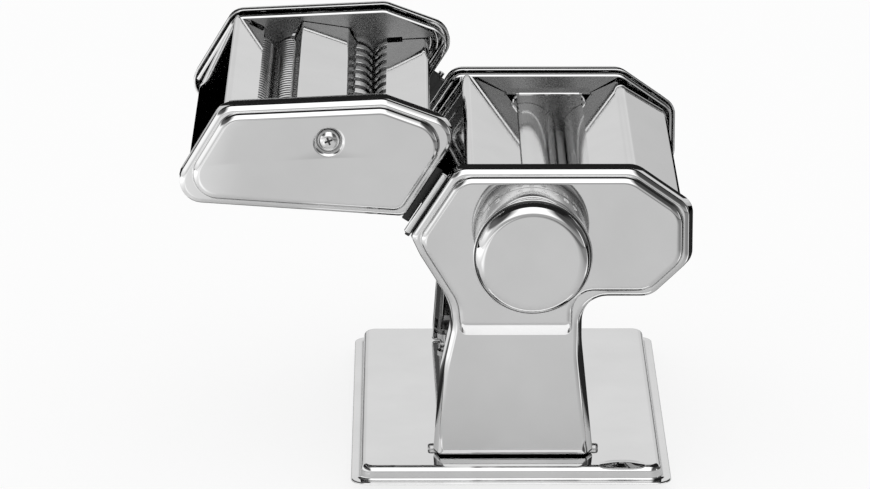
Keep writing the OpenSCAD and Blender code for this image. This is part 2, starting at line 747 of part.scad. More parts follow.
module drive_gear() color("silver")
    gear(fixed_point, body_teeth, body_gear_root, body_gear_tip, 180 + 180 / body_teeth, journal_d + 2 * seat,
        gear_in, gear_in + gear_w);

// ---- cutter head ----

module head_plate()
    difference() {
        union() {
            pressed_plate(head_outline, head_radii, head_outline, head_raised_radii);
            // Dimple for the screw
            bar(head_rods[0], 2 * dimple_r, face_y - 2 - sheet, face_y - 0.1);
        }
        bar(head_rods[0], 2 * (dimple_r - sheet), face_y - 2, face_y + 1);
        bar(head_rods[0], head_screw_d + 0.4, face_y - 5, face_y + 1);
    }

module head_front_plate() color("gainsboro") dial_side() head_plate();

module head_rear_plate() color("gainsboro")
    difference() {
        head_plate();
        for (p = [fine_right, wide_left]) bar(p, head_socket_d + 1.6, face_y - 4, face_y + 1);
    }

cutter_journal = 6;
head_socket_d = 10.6;
head_socket_bore = 6;
head_socket_depth = 8;

module head_bearing_plates() color("silver") {
    profile = [
        fine_fold, head_left_line[2], head_left_line[3], head_right_line[0], head_right_line[1], wide_fold,
        wide_edge_r, [wide_edge_r.x, wide_top], skirt_r + [0, -0.6], centre_r, centre_l, skirt_l + [0, -0.6],
        [fine_edge_l.x, fine_top], fine_edge_l
    ];
    inner = inset(profile, cover_sheet + seat);
    both_sides() difference() {
        slab(plate_in, plate_out) polygon(rounded(inner, [2.5, 5.5, 3.5, 0.8, 4.5, 3.5, 0.5, 0.5, 0.5, 1.5, 1, 0.5, 0.5, 0.5]));
        for (p = [fine_left, fine_right, wide_left, wide_right])
            bar(p, cutter_journal + 3 + 2 * run, plate_in - 1, plate_out + 1);
        for (p = head_rods) bar(p, rod_spigot + 2 * run, plate_in - 1, plate_out + 1);
    }
}

module head_tie_rods() color("silver") {
    difference() {
        for (p = head_rods) {
            bar(p, head_rod_d, -plate_in + seat, plate_in - seat);
            bar(p, rod_spigot, -plate_out - 8, plate_out + 8);
        }
        both_sides() bar(head_rods[0], head_screw_d + 2 * seat, plate_out - 1, face_y);
    }
    // Bosses between the bearing plates and the side plates
    both_sides() for (i = [1, 2]) bar(head_rods[i], boss_d - 3, plate_out + seat, face_y - sheet - seat);
}

// Pan-head screws through the dimples
module head_plate_screws() color("gainsboro")
    both_sides() difference() {
        union() {
            bar(head_rods[0], head_screw_d, plate_out, face_y - 1.9);
            bar(head_rods[0], 2 * (dimple_r - sheet) - 0.8, face_y - 2 + seat, face_y + 0.2);
        }
        for (a = [20, 110]) translate([head_rods[0].x, face_y + 0.2, head_rods[0].y]) rotate([0, a, 0])
            cube([4.6, 2, 0.9], center = true);
    }

module head_left_cover() color("whitesmoke")
    bent_sheet(head_left_line, [0, 2.5, 5, 3, 0], cover_sheet, -cover_end, cover_end);

module head_right_cover() color("whitesmoke")
    bent_sheet(head_right_line, [0, 4, 3, 0], cover_sheet, -cover_end, cover_end);

module head_centre_panel() color("whitesmoke")
    bent_sheet([skirt_r, centre_r, centre_l, skirt_l], [0, 1.6, 1, 0], cover_sheet, -plate_in + seat, plate_in - seat);

// Walls at the cutters' ends: they stand on the panels and reach down between the cutters
guard_seam = 0.25;
guard_slot = 1.2;                     // the panels' corners leave a slot beside the cutters
guard_wedge = 1.9;                    // and an open wedge beside the centre panel's skirts

module head_end_guards() color("lightgray") {
    up = [0, guard_seam];
    slot = [0, guard_slot];
    fine_mid = fine_edge_l + 7 * unit(fine_fold - fine_edge_l);
    wide_mid = wide_edge_r + 7 * unit(wide_fold - wide_edge_r);
    rim = inset(head_outline, sheet + 0.7);
    both_sides() slab(wall_y, wall_y + guard_t) difference() {
        polygon([
            fine_fold + [1.6, -0.6], fine_mid + up, fine_mid + slot, fine_edge_l + slot, [fine_edge_l.x, fine_z + 4],
            [fine_x - 2, fine_z + 1], [fine_x + 2, fine_z + 1], [skirt_l.x - guard_wedge, fine_z + 4],
            skirt_l + [-guard_wedge, -0.7], centre_l + [-0.9, -0.8], centre_l + up, centre_r + up,
            centre_r + [1.2, -0.8], skirt_r + [guard_wedge - 0.5, -2], [skirt_r.x + guard_wedge - 0.5, wide_z + 4],
            [wide_x - 2, wide_z + 1], [wide_x + 2, wide_z + 1], [wide_edge_r.x, wide_z + 4], wide_edge_r + slot,
            wide_mid + slot, wide_mid + up, wide_fold + [-1, 0.3], wide_fold + [-1.5, 2.2], rim[2] + [0.3, -0.2],
            rim[3] + [3.6, 0.2]
        ]);
        for (p = [fine_left, fine_right, wide_left, wide_right]) translate(p) circle(d = cutter_journal + 5.4);
    }
}

// Discs of one cutting roller: width w, pitch 2w; the partner is shifted by one disc
module cutter(p, w, shift, side_room) {
    count = floor((roller_end - 1) / w);
    root_r = cutter_r - cutter_mesh - 1.1;
    difference() {
        bar(p, cutter_d, -roller_end, roller_end);
        for (i = [-count - 1:count]) if (abs(i + shift) % 2 == 1)
            difference() {
                bar(p, cutter_d + 2, i * w - side_room, (i + 1) * w + side_room);
                bar(p, 2 * root_r, i * w - side_room - 1, (i + 1) * w + side_room + 1);
            }
    }
}

module cutter_shaft(p, socket) {
    difference() {
        union() {
            bar(p, cutter_journal, -plate_out - 0.6, gear_in + gear_w + 0.6);
            if (socket) bar(p, head_socket_d, gear_in + gear_w + 0.5, socket_end);
        }
        if (socket) crank_socket_cut(p, head_socket_bore, head_socket_depth);
    }
}

module fine_cutter_left() color("silver") {
    cutter(fine_left, fine_strip, 0, 0.12);
    cutter_shaft(fine_left, false);
}
module fine_cutter_right() color("silver") {
    cutter(fine_right, fine_strip, 1, 0.12);
    cutter_shaft(fine_right, true);
}
module wide_cutter_left() color("silver") {
    cutter(wide_left, wide_strip, 0, 0.15);
    cutter_shaft(wide_left, true);
}
module wide_cutter_right() color("silver") {
    cutter(wide_right, wide_strip, 1, 0.15);
    cutter_shaft(wide_right, false);
}

module head_gear(p, phase)
    gear(p, head_teeth, head_gear_root, head_gear_tip, phase, cutter_journal + 2 * seat, gear_in, gear_in + gear_w);

module fine_gear_left() color("goldenrod") head_gear(fine_left, 0);
module fine_gear_right() color("goldenrod") head_gear(fine_right, 180 + 180 / head_teeth);
module wide_gear_left() color("goldenrod") head_gear(wide_left, 0);
module wide_gear_right() color("goldenrod") head_gear(wide_right, 180 + 180 / head_teeth);

module head_bushes() color("goldenrod")
    both_sides() for (p = [fine_left, fine_right, wide_left, wide_right]) difference() {
        union() {
            bar(p, cutter_journal + 3, plate_in - 0.85, plate_out + 0.5);
            bar(p, cutter_journal + 4.6, plate_in - 0.85, plate_in - seat);
        }
        bar(p, cutter_journal + 2 * run, plate_in - 2, plate_out + 2);
    }

// A comb: a strip beside a cutter with a finger in each of its grooves
module comb(p, side, w, shift, side_room, low = -8) {
    count = floor((roller_end - 1) / w);
    root_r = cutter_r - cutter_mesh - 1.1;
    x0 = cutter_r + 0.35;
    translate([p.x, 0, p.y]) slab(-plate_in + seat, plate_in - seat) scale([side, 1])
        polygon([[x0, low], [x0 + 1.2, low], [x0 + 1.2, low + 9], [x0, low + 9]]);
    for (i = [-count + 1:count - 2]) if (abs(i + shift) % 2 == 1)
        translate([p.x, 0, p.y]) slab(i * w + side_room + 0.12, (i + 1) * w - side_room - 0.12) scale([side, 1])
            difference() {
                polygon([[x0 + 0.6, low], [x0 + 0.6, low + 5], [root_r + 0.4, low + 3.5], [root_r - 1.4, low + 0.6]]);
                circle(r = root_r + 0.3);
            }
}

module fine_combs() color("silver") {
    comb(fine_left, -1, fine_strip, 0, 0.2);
    comb(fine_right, 1, fine_strip, 1, 0.2);
}
module wide_combs() color("silver") {
    comb(wide_left, -1, wide_strip, 0, 0.3);
    comb(wide_right, 1, wide_strip, 1, 0.3, -1.5);
}

// ---- one line for each node ----

base_tray();
foot_front_left();
foot_front_right();
foot_rear_left();
foot_rear_right();
foot_studs();
front_side_plate();
rear_side_plate();
foot_bars();
foot_bar_screws();
foot_bar_nuts();
front_bearing_plate();
rear_bearing_plate();
tie_rods();
plate_bosses();
left_cover();
right_cover();
front_end_guard();
rear_end_guard();
fixed_scraper();
drive_bushes();
dial_bushes();
index_spring();
head_rails();
rail_clips();
eccentric_shaft();
index_wheel();
dial_screw();
dial_skirt();
dial_cap();
stop_pin();
dial_spring();
guide_bush();
moving_scraper();
adjustable_roller();
roller_sleeve();
adjustable_gear();
drive_roller();
drive_gear();
head_front_plate();
head_rear_plate();
head_bearing_plates();
head_tie_rods();
head_plate_screws();
head_left_cover();
head_centre_panel();
head_right_cover();
head_end_guards();
fine_combs();
wide_combs();
head_bushes();
head_hooks();
fine_cutter_left();
fine_cutter_right();
wide_cutter_left();
wide_cutter_right();
fine_gear_left();
fine_gear_right();
wide_gear_left();
wide_gear_right();
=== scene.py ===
"""Looks of a hand-cranked pasta roller machine with a slide-on cutter head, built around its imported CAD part."""

import math

import bmesh
import bpy
import numpy as np
from mathutils import Matrix, Vector
from mathutils.geometry import tessellate_polygon


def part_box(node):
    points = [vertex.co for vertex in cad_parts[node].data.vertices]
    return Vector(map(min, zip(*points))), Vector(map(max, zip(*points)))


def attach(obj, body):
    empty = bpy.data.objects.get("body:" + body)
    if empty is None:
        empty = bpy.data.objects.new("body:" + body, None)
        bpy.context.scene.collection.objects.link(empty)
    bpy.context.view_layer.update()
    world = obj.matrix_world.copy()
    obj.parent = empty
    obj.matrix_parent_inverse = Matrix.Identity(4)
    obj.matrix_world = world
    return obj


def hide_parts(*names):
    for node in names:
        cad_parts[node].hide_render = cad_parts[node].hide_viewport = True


bl_info = {
    "name": "Pasta roller machine looks",
    "version": (1, 0, 0),
    "blender": (4, 5, 0),
    "location": "3D View > Sidebar > Pasta machine",
    "description": "Pressed plates, covers, rollers, dial and finishes of a pasta roller machine",
    "category": "Add Mesh",
}

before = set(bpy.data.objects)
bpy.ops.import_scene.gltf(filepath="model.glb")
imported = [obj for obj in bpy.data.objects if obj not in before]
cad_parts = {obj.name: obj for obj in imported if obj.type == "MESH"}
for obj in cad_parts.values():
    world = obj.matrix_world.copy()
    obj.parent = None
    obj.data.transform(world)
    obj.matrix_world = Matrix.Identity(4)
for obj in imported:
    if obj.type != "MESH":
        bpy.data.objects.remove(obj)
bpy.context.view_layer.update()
MM = 0.001


def axis_of(node):
    """The X and Z, in millimetres, of the axis that a round CAD node turns about: the middle of its box."""
    low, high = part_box(node)
    return np.array([low.x + high.x, low.z + high.z]) / 2 / MM


FIXED, MOVING, DIAL, FINE_LEFT, FINE_RIGHT, WIDE_LEFT, WIDE_RIGHT = [axis_of(node) for node in (
    "drive_roller", "adjustable_roller", "dial_cap", "fine_cutter_left", "fine_cutter_right", "wide_cutter_left",
    "wide_cutter_right")]
AXIS_HEIGHT = FIXED[1]


# ---- sizes and colours ----


def number(name, description, default, **limits):
    """A number property."""
    return bpy.props.FloatProperty(name=name, description=description, default=default, **limits)


def length(name, description, default):
    """A length property, given in millimetres and kept in metres."""
    return number(name, description, default * MM, min=0, unit="LENGTH", precision=5)


class PressingSizes(bpy.types.PropertyGroup):
    """Sizes of the pressed and bent sheet pieces."""

    sheet: length("Plate sheet", "Thickness of the side plates, the head's plates and the base", 1.0)
    cover_sheet: length("Cover sheet", "Thickness of the bent covers", 0.8)
    rim_out: length("Rim", "Distance from the middle of the machine to the side plates' flat rims", 88.0)
    face_out: length("Face", "Distance from the middle of the machine to the raised faces", 91.0)
    flange: length("Flange", "Depth of the side plates' turned-back edges", 8.0)
    draft: length("Draft", "How much a turned-back edge opens towards its free end", 0.35)
    rim_bend: length("Rim bend", "Outer bend radius of the side plates' edges", 2.4)
    step_slope: length("Step slope", "Length of the steep part of the step from rim to raised face", 0.65)
    base_bend: length("Base bend", "Outer bend radius round the base's top", 2.6)


class TurnedSizes(bpy.types.PropertyGroup):
    """Sizes of the turned pieces."""

    dial_round: length("Dial rounding", "Radius of the dial cap's rounded front edge", 5.6)
    digit_height: length("Digit height", "Height of the dial's digits", 4.6)
    disc_chamfer: length("Disc edge", "Chamfer on the cutting discs' edges", 0.12)


def tint(name, description, default):
    """A colour property."""
    return bpy.props.FloatVectorProperty(name=name, description=description, default=default, size=3, min=0, max=1,
                                         subtype="COLOR")


class FinishColours(bpy.types.PropertyGroup):
    """Colours of the finishes."""

    polished: tint("Polished steel", "Reflection colour of the plates, covers, base and dial", (0.60, 0.60, 0.60))
    roller: tint("Roller steel", "Reflection colour of the smooth rollers", (0.58, 0.58, 0.58))
    cutter: tint("Cutter steel", "Reflection colour of the grooved rollers", (0.56, 0.56, 0.56))
    inner: tint("Inner steel", "Colour of rods, bearing plates and other pieces inside", (0.42, 0.42, 0.42))
    guard: tint("Guard steel", "Colour of the end guards inside the hoppers", (0.25, 0.25, 0.25))
    bearing: tint("Bearing bronze", "Colour of the bushes", (0.62, 0.42, 0.16))
    rubber: tint("Rubber", "Colour of the feet", (0.012, 0.012, 0.012))
    # Also the colour of painted shade: the black ring in the dial's groove, the webs in the gap behind the hooks and
    # the screws' crosses.
    clip: tint("Dark clip", "Colour of the clips, rails and seams", (0.01, 0.01, 0.01))
    digit: tint("Digits", "Colour of the dial's digits", (0.62, 0.62, 0.62))
    roughness: number("Polish", "Roughness of the polished steel", 0.045, min=0, max=1)


class StudioSettings(bpy.types.PropertyGroup):
    """The stage: floor, light and camera."""

    floor_colour: tint("Floor", "Colour of the floor", (0.9, 0.9, 0.9))
    lamp_power: number("Lamp", "Power of the overhead lamp in watts", 1.2, min=0)
    lens: number("Lens", "Focal length of the camera in millimetres", 223.7, min=1)
    camera_height: length("Camera height", "Height of the camera over the table", 753.6)
    camera_distance: length("Camera distance", "Distance of the camera from the middle of the machine", 2288.8)
    camera_side: number("Camera side", "Place of the camera along X", -43.62 * MM, unit="LENGTH")
    camera_pitch: number("Camera pitch", "How far the camera looks down", math.radians(16.388), subtype="ANGLE")
    camera_turn: number("Camera turn", "How far the camera turns to +X", math.radians(0.289), subtype="ANGLE")


# ---- plane curves ----


def unit(v):
    """Vectors scaled to length one."""
    return v / np.linalg.norm(v, axis=-1, keepdims=True)


def arcs(before, at, after, radii, steps, lead):
    """Corner arcs: each corner becomes a circle arc that touches both its edges, with one more point a short lead
    before and after it, on the edges themselves."""
    u, v = unit(before - at), unit(after - at)
    r = np.asarray(radii, float)[:, None]
    half = np.arccos(np.clip((u * v).sum(1), -1, 1))[:, None] / 2
    centre = at + unit(u + v) * r / np.sin(half)
    start, end = at + u * r / np.tan(half), at + v * r / np.tan(half)
    a0 = np.arctan2(*(start - centre).T[::-1])
    a1 = np.arctan2(*(end - centre).T[::-1])
    turn = (a1 - a0 + np.pi) % (2 * np.pi) - np.pi
    a = a0[:, None] + turn[:, None] * np.linspace(0, 1, steps + 1)
    arc = centre[:, None] + r[:, :, None] * np.stack([np.cos(a), np.sin(a)], -1)
    return np.concatenate([(start + u * lead)[:, None], arc, (end + v * lead)[:, None]], 1)


def rounded(corners, radii, steps=10, lead=0.05):
    """A closed outline with rounded corners, from corner points and their radii."""
    p = np.asarray(corners, float)
    return arcs(np.roll(p, 1, 0), p, np.roll(p, -1, 0), radii, steps, lead).reshape(-1, 2)


def rounded_path(corners, radii, steps=10, lead=0.05):
    """An open path with its inner corners rounded."""
    p = np.asarray(corners, float)
    return np.concatenate([p[:1], arcs(p[:-2], p[1:-1], p[2:], radii[1:-1], steps, lead).reshape(-1, 2), p[-1:]])


def inset(corners, distance):
    """Corners of a counter-clockwise outline with each edge moved inwards by its distance: each new corner is where two
    moved edges cross."""
    p = np.asarray(corners, float)
    e = unit(np.roll(p, -1, 0) - p)
    n1 = np.stack([-e[:, 1], e[:, 0]], 1)
    n0 = np.roll(n1, 1, 0)
    d1 = np.broadcast_to(np.asarray(distance, float), len(p))
    d0 = np.roll(d1, 1)
    c = (n0 * n1).sum(1)
    b = (d1 - c * d0) / (1 - c * c)
    return p + (d0 - b * c)[:, None] * n0 + b[:, None] * n1


def turns_left(corners):
    """+1 at each convex corner of a counter-clockwise outline and -1 at each hollow one."""
    p = np.asarray(corners, float)
    a, b = p - np.roll(p, 1, 0), np.roll(p, -1, 0) - p
    return np.sign(a[:, 0] * b[:, 1] - a[:, 1] * b[:, 0])


def beside(path, distance):
    """An open path moved to its left by a distance."""
    p = np.asarray(path, float)
    e = unit(np.diff(p, axis=0))
    e0, e1 = np.concatenate([e[:1], e]), np.concatenate([e, e[-1:]])
    n0, n1 = (np.stack([-e_[:, 1], e_[:, 0]], 1) for e_ in (e0, e1))
    return p + distance * (n0 + n1) / (1 + (n0 * n1).sum(1, keepdims=True))


def bow(x, y, r, start, end, steps):
    """Points of a circle arc between two angles in degrees."""
    a = np.radians(np.linspace(start, end, steps + 1))
    return np.stack([x + r * np.cos(a), y + r * np.sin(a)], 1)


def circle(centre, r, n=48):
    """A closed circle."""
    a = np.arange(n) * 2 * np.pi / n
    return np.asarray(centre) + r * np.stack([np.cos(a), np.sin(a)], 1)


# ---- surfaces ----


def grid(points, closed_rows=False, closed_cols=False):
    """A sheet of quads over a grid of points: each point joins its neighbours along both parameters, and a closed
    direction joins its last points to its first."""
    rows, cols = points.shape[:2]
    i = np.arange(rows * cols).reshape(rows, cols)
    if closed_rows:
        i = np.concatenate([i, i[:1]], 0)
    if closed_cols:
        i = np.concatenate([i, i[:, :1]], 1)
    quads = np.stack([i[:-1, :-1], i[1:, :-1], i[1:, 1:], i[:-1, 1:]], -1).reshape(-1, 4)
    return points.reshape(-1, 3), quads.tolist()


def lift(outline, out):
    """A plane XZ outline set at a distance out along Y."""
    return np.stack([outline[:, 0], np.full(len(outline), float(out)), outline[:, 1]], 1)


def lay(outline, height):
    """A plane XY outline set at a height."""
    return np.column_stack([outline, np.full(len(outline), float(height))])


def flat(outlines, out, place=lift):
    """A flat sheet with holes, set at a distance out: the first outline is its edge and the others are the holes."""
    loops = [[Vector((p[0], p[1], 0)) for p in o] for o in outlines]
    return place(np.concatenate(outlines), out), [list(t) for t in tessellate_polygon(loops)]


def walls(loops, outs, place=lift):
    """A closed wall through a row of outlines, each set at its own distance out."""
    return grid(np.stack([place(loop, out) for loop, out in zip(loops, outs)]), closed_cols=True)


def closed(loops, outs):
    """A wall through a row of outlines, with a flat sheet over each end."""
    return [walls(loops, outs), flat([loops[0]], outs[0]), flat([loops[-1]], outs[-1])]


def capped(rings):
    """A wall through a stack of rings of points, with one face over each end."""
    return [grid(rings, closed_cols=True), *[(ring, [list(range(len(ring)))]) for ring in (rings[0], rings[-1])]]


def turned(profile, axis, segments=96):
    """A profile of (distance along Y, radius) points carried round an axis along Y."""
    a = np.arange(segments) * 2 * np.pi / segments
    y, r = np.asarray(profile, float).T
    pts = np.stack([axis[0] + r[:, None] * np.cos(a), np.broadcast_to(y[:, None], (len(y), segments)),
                    axis[1] + r[:, None] * np.sin(a)], -1)
    return grid(pts, closed_cols=True)


def add_object(name, data):
    """A new object in the scene."""
    thing = bpy.data.objects.new(name, data)
    bpy.context.scene.collection.objects.link(thing)
    return thing


def make(name, patches, material, body, replaced, mirror=False, sharp=38):
    """One mesh object from patches of points in millimetres: coinciding points are joined, faces turned outwards, and
    edges sharper than an angle kept crisp."""
    verts, faces, start = [], [], 0
    for points, polygons in patches:
        verts.append(points)
        faces += [[i + start for i in polygon] for polygon in polygons]
        start += len(points)
    v = np.concatenate(verts) * MM * [1, -1 if mirror else 1, 1]
    mesh = bpy.data.meshes.new(name)
    mesh.from_pydata(v.tolist(), [], faces)
    bm = bmesh.new()
    bm.from_mesh(mesh)
    bmesh.ops.remove_doubles(bm, verts=bm.verts, dist=2e-6)
    bmesh.ops.dissolve_degenerate(bm, edges=bm.edges, dist=1e-6)
    bmesh.ops.recalc_face_normals(bm, faces=bm.faces)
    bm.to_mesh(mesh)
    bm.free()
    mesh.polygons.foreach_set("use_smooth", np.ones(len(mesh.polygons), bool))
    mesh.set_sharp_from_angle(angle=math.radians(sharp))
    mesh.materials.append(finish(material))
    piece = add_object(name, mesh)
    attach(piece, body)
    if replaced:
        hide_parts(*replaced)
    return piece


# ---- outlines of the machine ----

RAIL_ANGLE = math.radians(57.2)
RAIL_FOOT = np.array([-43.4, AXIS_HEIGHT - 2])
HOOK_GAP = 6.3
ROLLER_END = 73.7
SOCKET_END = 96.0
BODY_TOP = AXIS_HEIGHT + 28.3
WING = AXIS_HEIGHT - 29
RIGHT = FIXED[0] + 37.9


def rail(t, s):
    """A point t along the edge that carries the cutter head, and s out from it."""
    c, n = math.cos(RAIL_ANGLE), math.sin(RAIL_ANGLE)
    return [RAIL_FOOT[0] + t * c - s * n, RAIL_FOOT[1] + t * n + s * c]


BODY_OUTLINE = np.array([
    [-33.3, 11.3], [35.4, 11.3], [30.2, AXIS_HEIGHT - 49], [30.4, WING], [RIGHT - 16.6, WING], [RIGHT, WING + 15.8],
    [RIGHT, BODY_TOP - 16.9], [RIGHT - 24, BODY_TOP],
    [RAIL_FOOT[0] + (BODY_TOP - RAIL_FOOT[1]) / math.tan(RAIL_ANGLE), BODY_TOP], RAIL_FOOT,
    [-38.6, AXIS_HEIGHT - 12.4], [-27.2, AXIS_HEIGHT - 31], [-26, AXIS_HEIGHT - 41.4], [-30.6, AXIS_HEIGHT - 63],
])
BODY_RADII = [1.5, 1.5, 60, 12, 10, 8.5, 8.5, 11, 9, 5, 14, 20, 20, 60]
RAISED_OUTLINE = np.concatenate([[[-25.7, AXIS_HEIGHT - 45.4], [30.2, AXIS_HEIGHT - 45.4]], BODY_OUTLINE[3:12]])
RAISED_RADII = [1.5, 1.5, 11, 10, 9, 9, 11, 9, 6, 15, 20]
RAISED_INSET = 5.0
BAND = 5.3
BAND_FOOT = 0.4
BODY_LEAN = np.array([0, 1.9, 1.2, 0.2, 0.9, 1.2, 0.6, 0, 0, 0.3, 0.6, 0.9, 0.9, 1.5])
RAISED_LEAN = np.concatenate([[0], BODY_LEAN[2:12]])

FINE_TOP = FINE_LEFT[1] + 8.4
WIDE_TOP = WIDE_LEFT[1] + 8.4
HEAD_OUTLINE = np.array([rail(6.2, HOOK_GAP), rail(53.5, HOOK_GAP), [-53.8, FINE_TOP + 14.2], [-122.6, FINE_TOP + 11.1],
                         [-148, FINE_TOP - 30.9]])
HEAD_RADII = [5, 10, 9, 9, 10]
HEAD_RAISED_RADII = [4, 10, 9, 9, 9]
HEAD_SCREW = np.array([-77.4, FINE_TOP - 3.6])
DIMPLE_R = 7.0


# ---- pressed plates ----


def ring_radii(corners, radii, d):
    """Corner radii that go with an inset by d."""
    return np.maximum(0.3, np.asarray(radii, float) - turns_left(corners) * d)


def sweep(angles, radii, steps):
    """A curve of joined arcs that turns from its first angle to its last, each arc with its own radius: the first
    coordinate grows where the curve has turned, the second where it hasn't yet."""
    a = np.concatenate([np.linspace(a0, a1, steps, endpoint=False) for a0, a1 in zip(angles[:-1], angles[1:])]
                       + [angles[-1:]])
    r = np.repeat(np.asarray(radii, float), steps)
    mid = np.radians((a[:-1] + a[1:]) / 2)
    run = 2 * r * np.sin(np.radians(np.diff(a)) / 2)
    return np.concatenate([[[0.0, 0.0]], np.cumsum(np.stack([run * np.sin(mid), run * np.cos(mid)], 1), 0)])


def pan_bend(s):
    """The outer bend of a pan's edge, from the turned-back edge to the flat rim: a tight arc, a long slow one and a
    short one."""
    k = s.rim_bend / MM / 2.4
    return sweep([0, 40, 74, 90], [1.6 * k, 3.5 * k, 1.2 * k], 7)


def pan_rim(s):
    """Section of a pan's rim as (distance in from the edge, distance out along Y): the outer bend, the turned-back
    edge, its rounded free end, and the inside back again."""
    t, rim, draft = s.sheet / MM, s.rim_out / MM, s.draft / MM
    end = rim - s.flange / MM
    bend = pan_bend(s)
    x, deep = draft + bend[-1, 0], bend[-1, 1]
    outer = bend + [draft, rim - deep]
    r = deep - t / 2
    return np.concatenate([
        [[x + 0.12, rim]], outer[::-1], [[draft - 0.004, rim - deep - 0.06], [0.03, end + 0.56]],
        bow(t / 2, end + 0.5, t / 2, 180, 360, 8), [[t + 0.03, end + 0.56], [draft + t - 0.004, rim - t - r - 0.06]],
        bow(draft + t + r, rim - t - r, r, 180, 90, 8), [[x + 0.12 + t, rim - t]],
    ])


def pan_step(s):
    """Section of the step to the raised face: a small hollow arc, a steep slope and a wide round arc. Returns the
    outside and the inside."""
    t, rim, face = s.sheet / MM, s.rim_out / MM, s.face_out / MM
    foot, slope, lean = 0.3, s.step_slope / MM, math.radians(75)
    start = s.draft / MM + pan_bend(s)[-1, 0] + 0.14
    top = (face - rim - slope * math.sin(lean)) / (1 - math.cos(lean)) - foot
    end = start + (foot + top) * math.sin(lean) + slope * math.cos(lean)
    return [np.concatenate([[[start - 0.03, rim - deep]], bow(start, rim + foot, foot + deep, -90, -15, 5),
                            bow(end, face - top, top - deep, 165, 90, steps), [[end + 0.25, face - deep]]])
            for deep, steps in ((0, 14), (t, 12))]


def pressed_pan(s, outline, radii, raised, raised_radii, holes, band=0.0, lean=0.0, raised_lean=0.0, unwalled=0):
    """Patches of a pressed pan: rings of the outline carried along the rim's section, rings of the raised outline
    carried along the step's section, and flat sheets between and inside them. The raised outline's first edge rises by
    the band's width along the step. A lean, edge by edge, moves the bend and all within it inwards and leaves the free
    end where it is. The first few holes may be left unwalled."""
    t, rim_out, face_out = s.sheet / MM, s.rim_out / MM, s.face_out / MM
    free, bent = (s.rim_out - s.flange) / MM + 0.6, rim_out - 2.3
    section = pan_rim(s)
    rings = [rounded(inset(outline, d + lean * np.clip((out - free) / (bent - free), 0, 1)),
                     ring_radii(outline, radii, d)) for d, out in section]
    patches, sheets = [walls(rings, section[:, 1])], []
    for side, foot, ring in zip(pan_step(s), (rim_out, rim_out - t), (rings[0], rings[-1])):
        loops = []
        for d, out in side:
            moved = d + raised_lean * np.ones(len(raised))
            if band:
                moved[0] = BAND_FOOT * (d - side[0, 0]) + band * (out - foot) / (face_out - rim_out)
            loops.append(rounded(inset(raised, moved), ring_radii(raised, raised_radii, d - RAISED_INSET)))
        patches.append(walls(loops, side[:, 1]))
        sheets += [flat([ring, loops[0]], side[0, 1]), flat([loops[-1], *holes], side[-1, 1])]
    return patches + sheets + [walls([hole, hole], (face_out, face_out - t)) for hole in holes[unwalled:]]


def dimple(s, centre):
    """Patches of a round dimple with a screw hole: its section carried round the screw's axis, outside and inside."""
    face, t = s.face_out / MM, s.sheet / MM
    depth, roll, heel, floor, hole = 2.2, 1.6, 0.65, 4.25, 1.7
    a = np.radians(np.linspace(0, 60, 7))
    b = a[::-1]
    out = np.concatenate([
        np.stack([face - roll * (1 - np.cos(a)), DIMPLE_R - roll * np.sin(a)], 1),
        np.stack([face - depth + heel * (1 - np.cos(b)), floor + heel * np.sin(b)], 1),
        [[face - depth, floor - 0.35], [face - depth, hole]],
    ])
    return [turned(np.concatenate([out, out[::-1] - [t, 0]]), centre, 48)]


# ---- materials ----


def node(tree, kind, **values):
    """The outputs of a new node with its properties set. A name that starts with in_ means an input, by its name or
    its number, which is linked where the value is another node's output and set where it isn't."""
    n = tree.nodes.new("ShaderNode" + kind)
    for key, value in values.items():
        if not key.startswith("in_"):
            setattr(n, key, value)
            continue
        socket = n.inputs[int(key[3:]) if key[3:].isdigit() else key[3:].replace("_", " ")]
        if isinstance(value, bpy.types.NodeSocket):
            tree.links.new(value, socket)
        else:
            socket.default_value = value
    return n.outputs


def empty_tree(owner):
    """The emptied node tree of a material or a world."""
    owner.use_nodes = True
    owner.node_tree.nodes.clear()
    return owner.node_tree


def noise(t, place, scale, detail):
    """A noise pattern."""
    return node(t, "TexNoise", in_Vector=place, in_Scale=scale, in_Detail=detail)[0]


def bump(t, height, strength, distance, **values):
    """A surface normal tilted by a height."""
    return node(t, "Bump", in_Height=height, in_Strength=strength, in_Distance=distance, **values)[0]


def fade(t, value, start, end, low=0.0, high=1.0):
    """Runs from a low value to a high one while the given value runs from its start to its end."""
    return node(t, "MapRange", in_Value=value, in_From_Min=start, in_From_Max=end, in_To_Min=low,
                in_To_Max=high)[0]


def combine(t, operation, first, *others):
    """Values put together by an operation, one after another."""
    for other in others:
        first = node(t, "Math", operation=operation, in_0=first, in_1=other)[0]
    return first


def choose(t, factor, a, b):
    """A mix of two shaders."""
    return node(t, "MixShader", in_Fac=factor, in_1=a, in_2=b)[0]


def ramp(t, value, stops):
    """Colours over a value: each stop is a place and a colour, in order."""
    out = node(t, "ValToRGB", in_Fac=value)[0]
    elements = out.node.color_ramp.elements
    while len(elements) < len(stops):
        elements.new(0.5)
    for element, (place, colour) in zip(elements, stops):
        element.position, element.color = place, (*colour, 1)
    return out


def shades(t, value, colour, dark, light, start=0.0, end=1.0):
    """A colour between a darker and a lighter shade of itself."""
    return ramp(t, value, [(place, [min(1, c * k) for c in colour]) for place, k in ((start, dark), (end, light))])


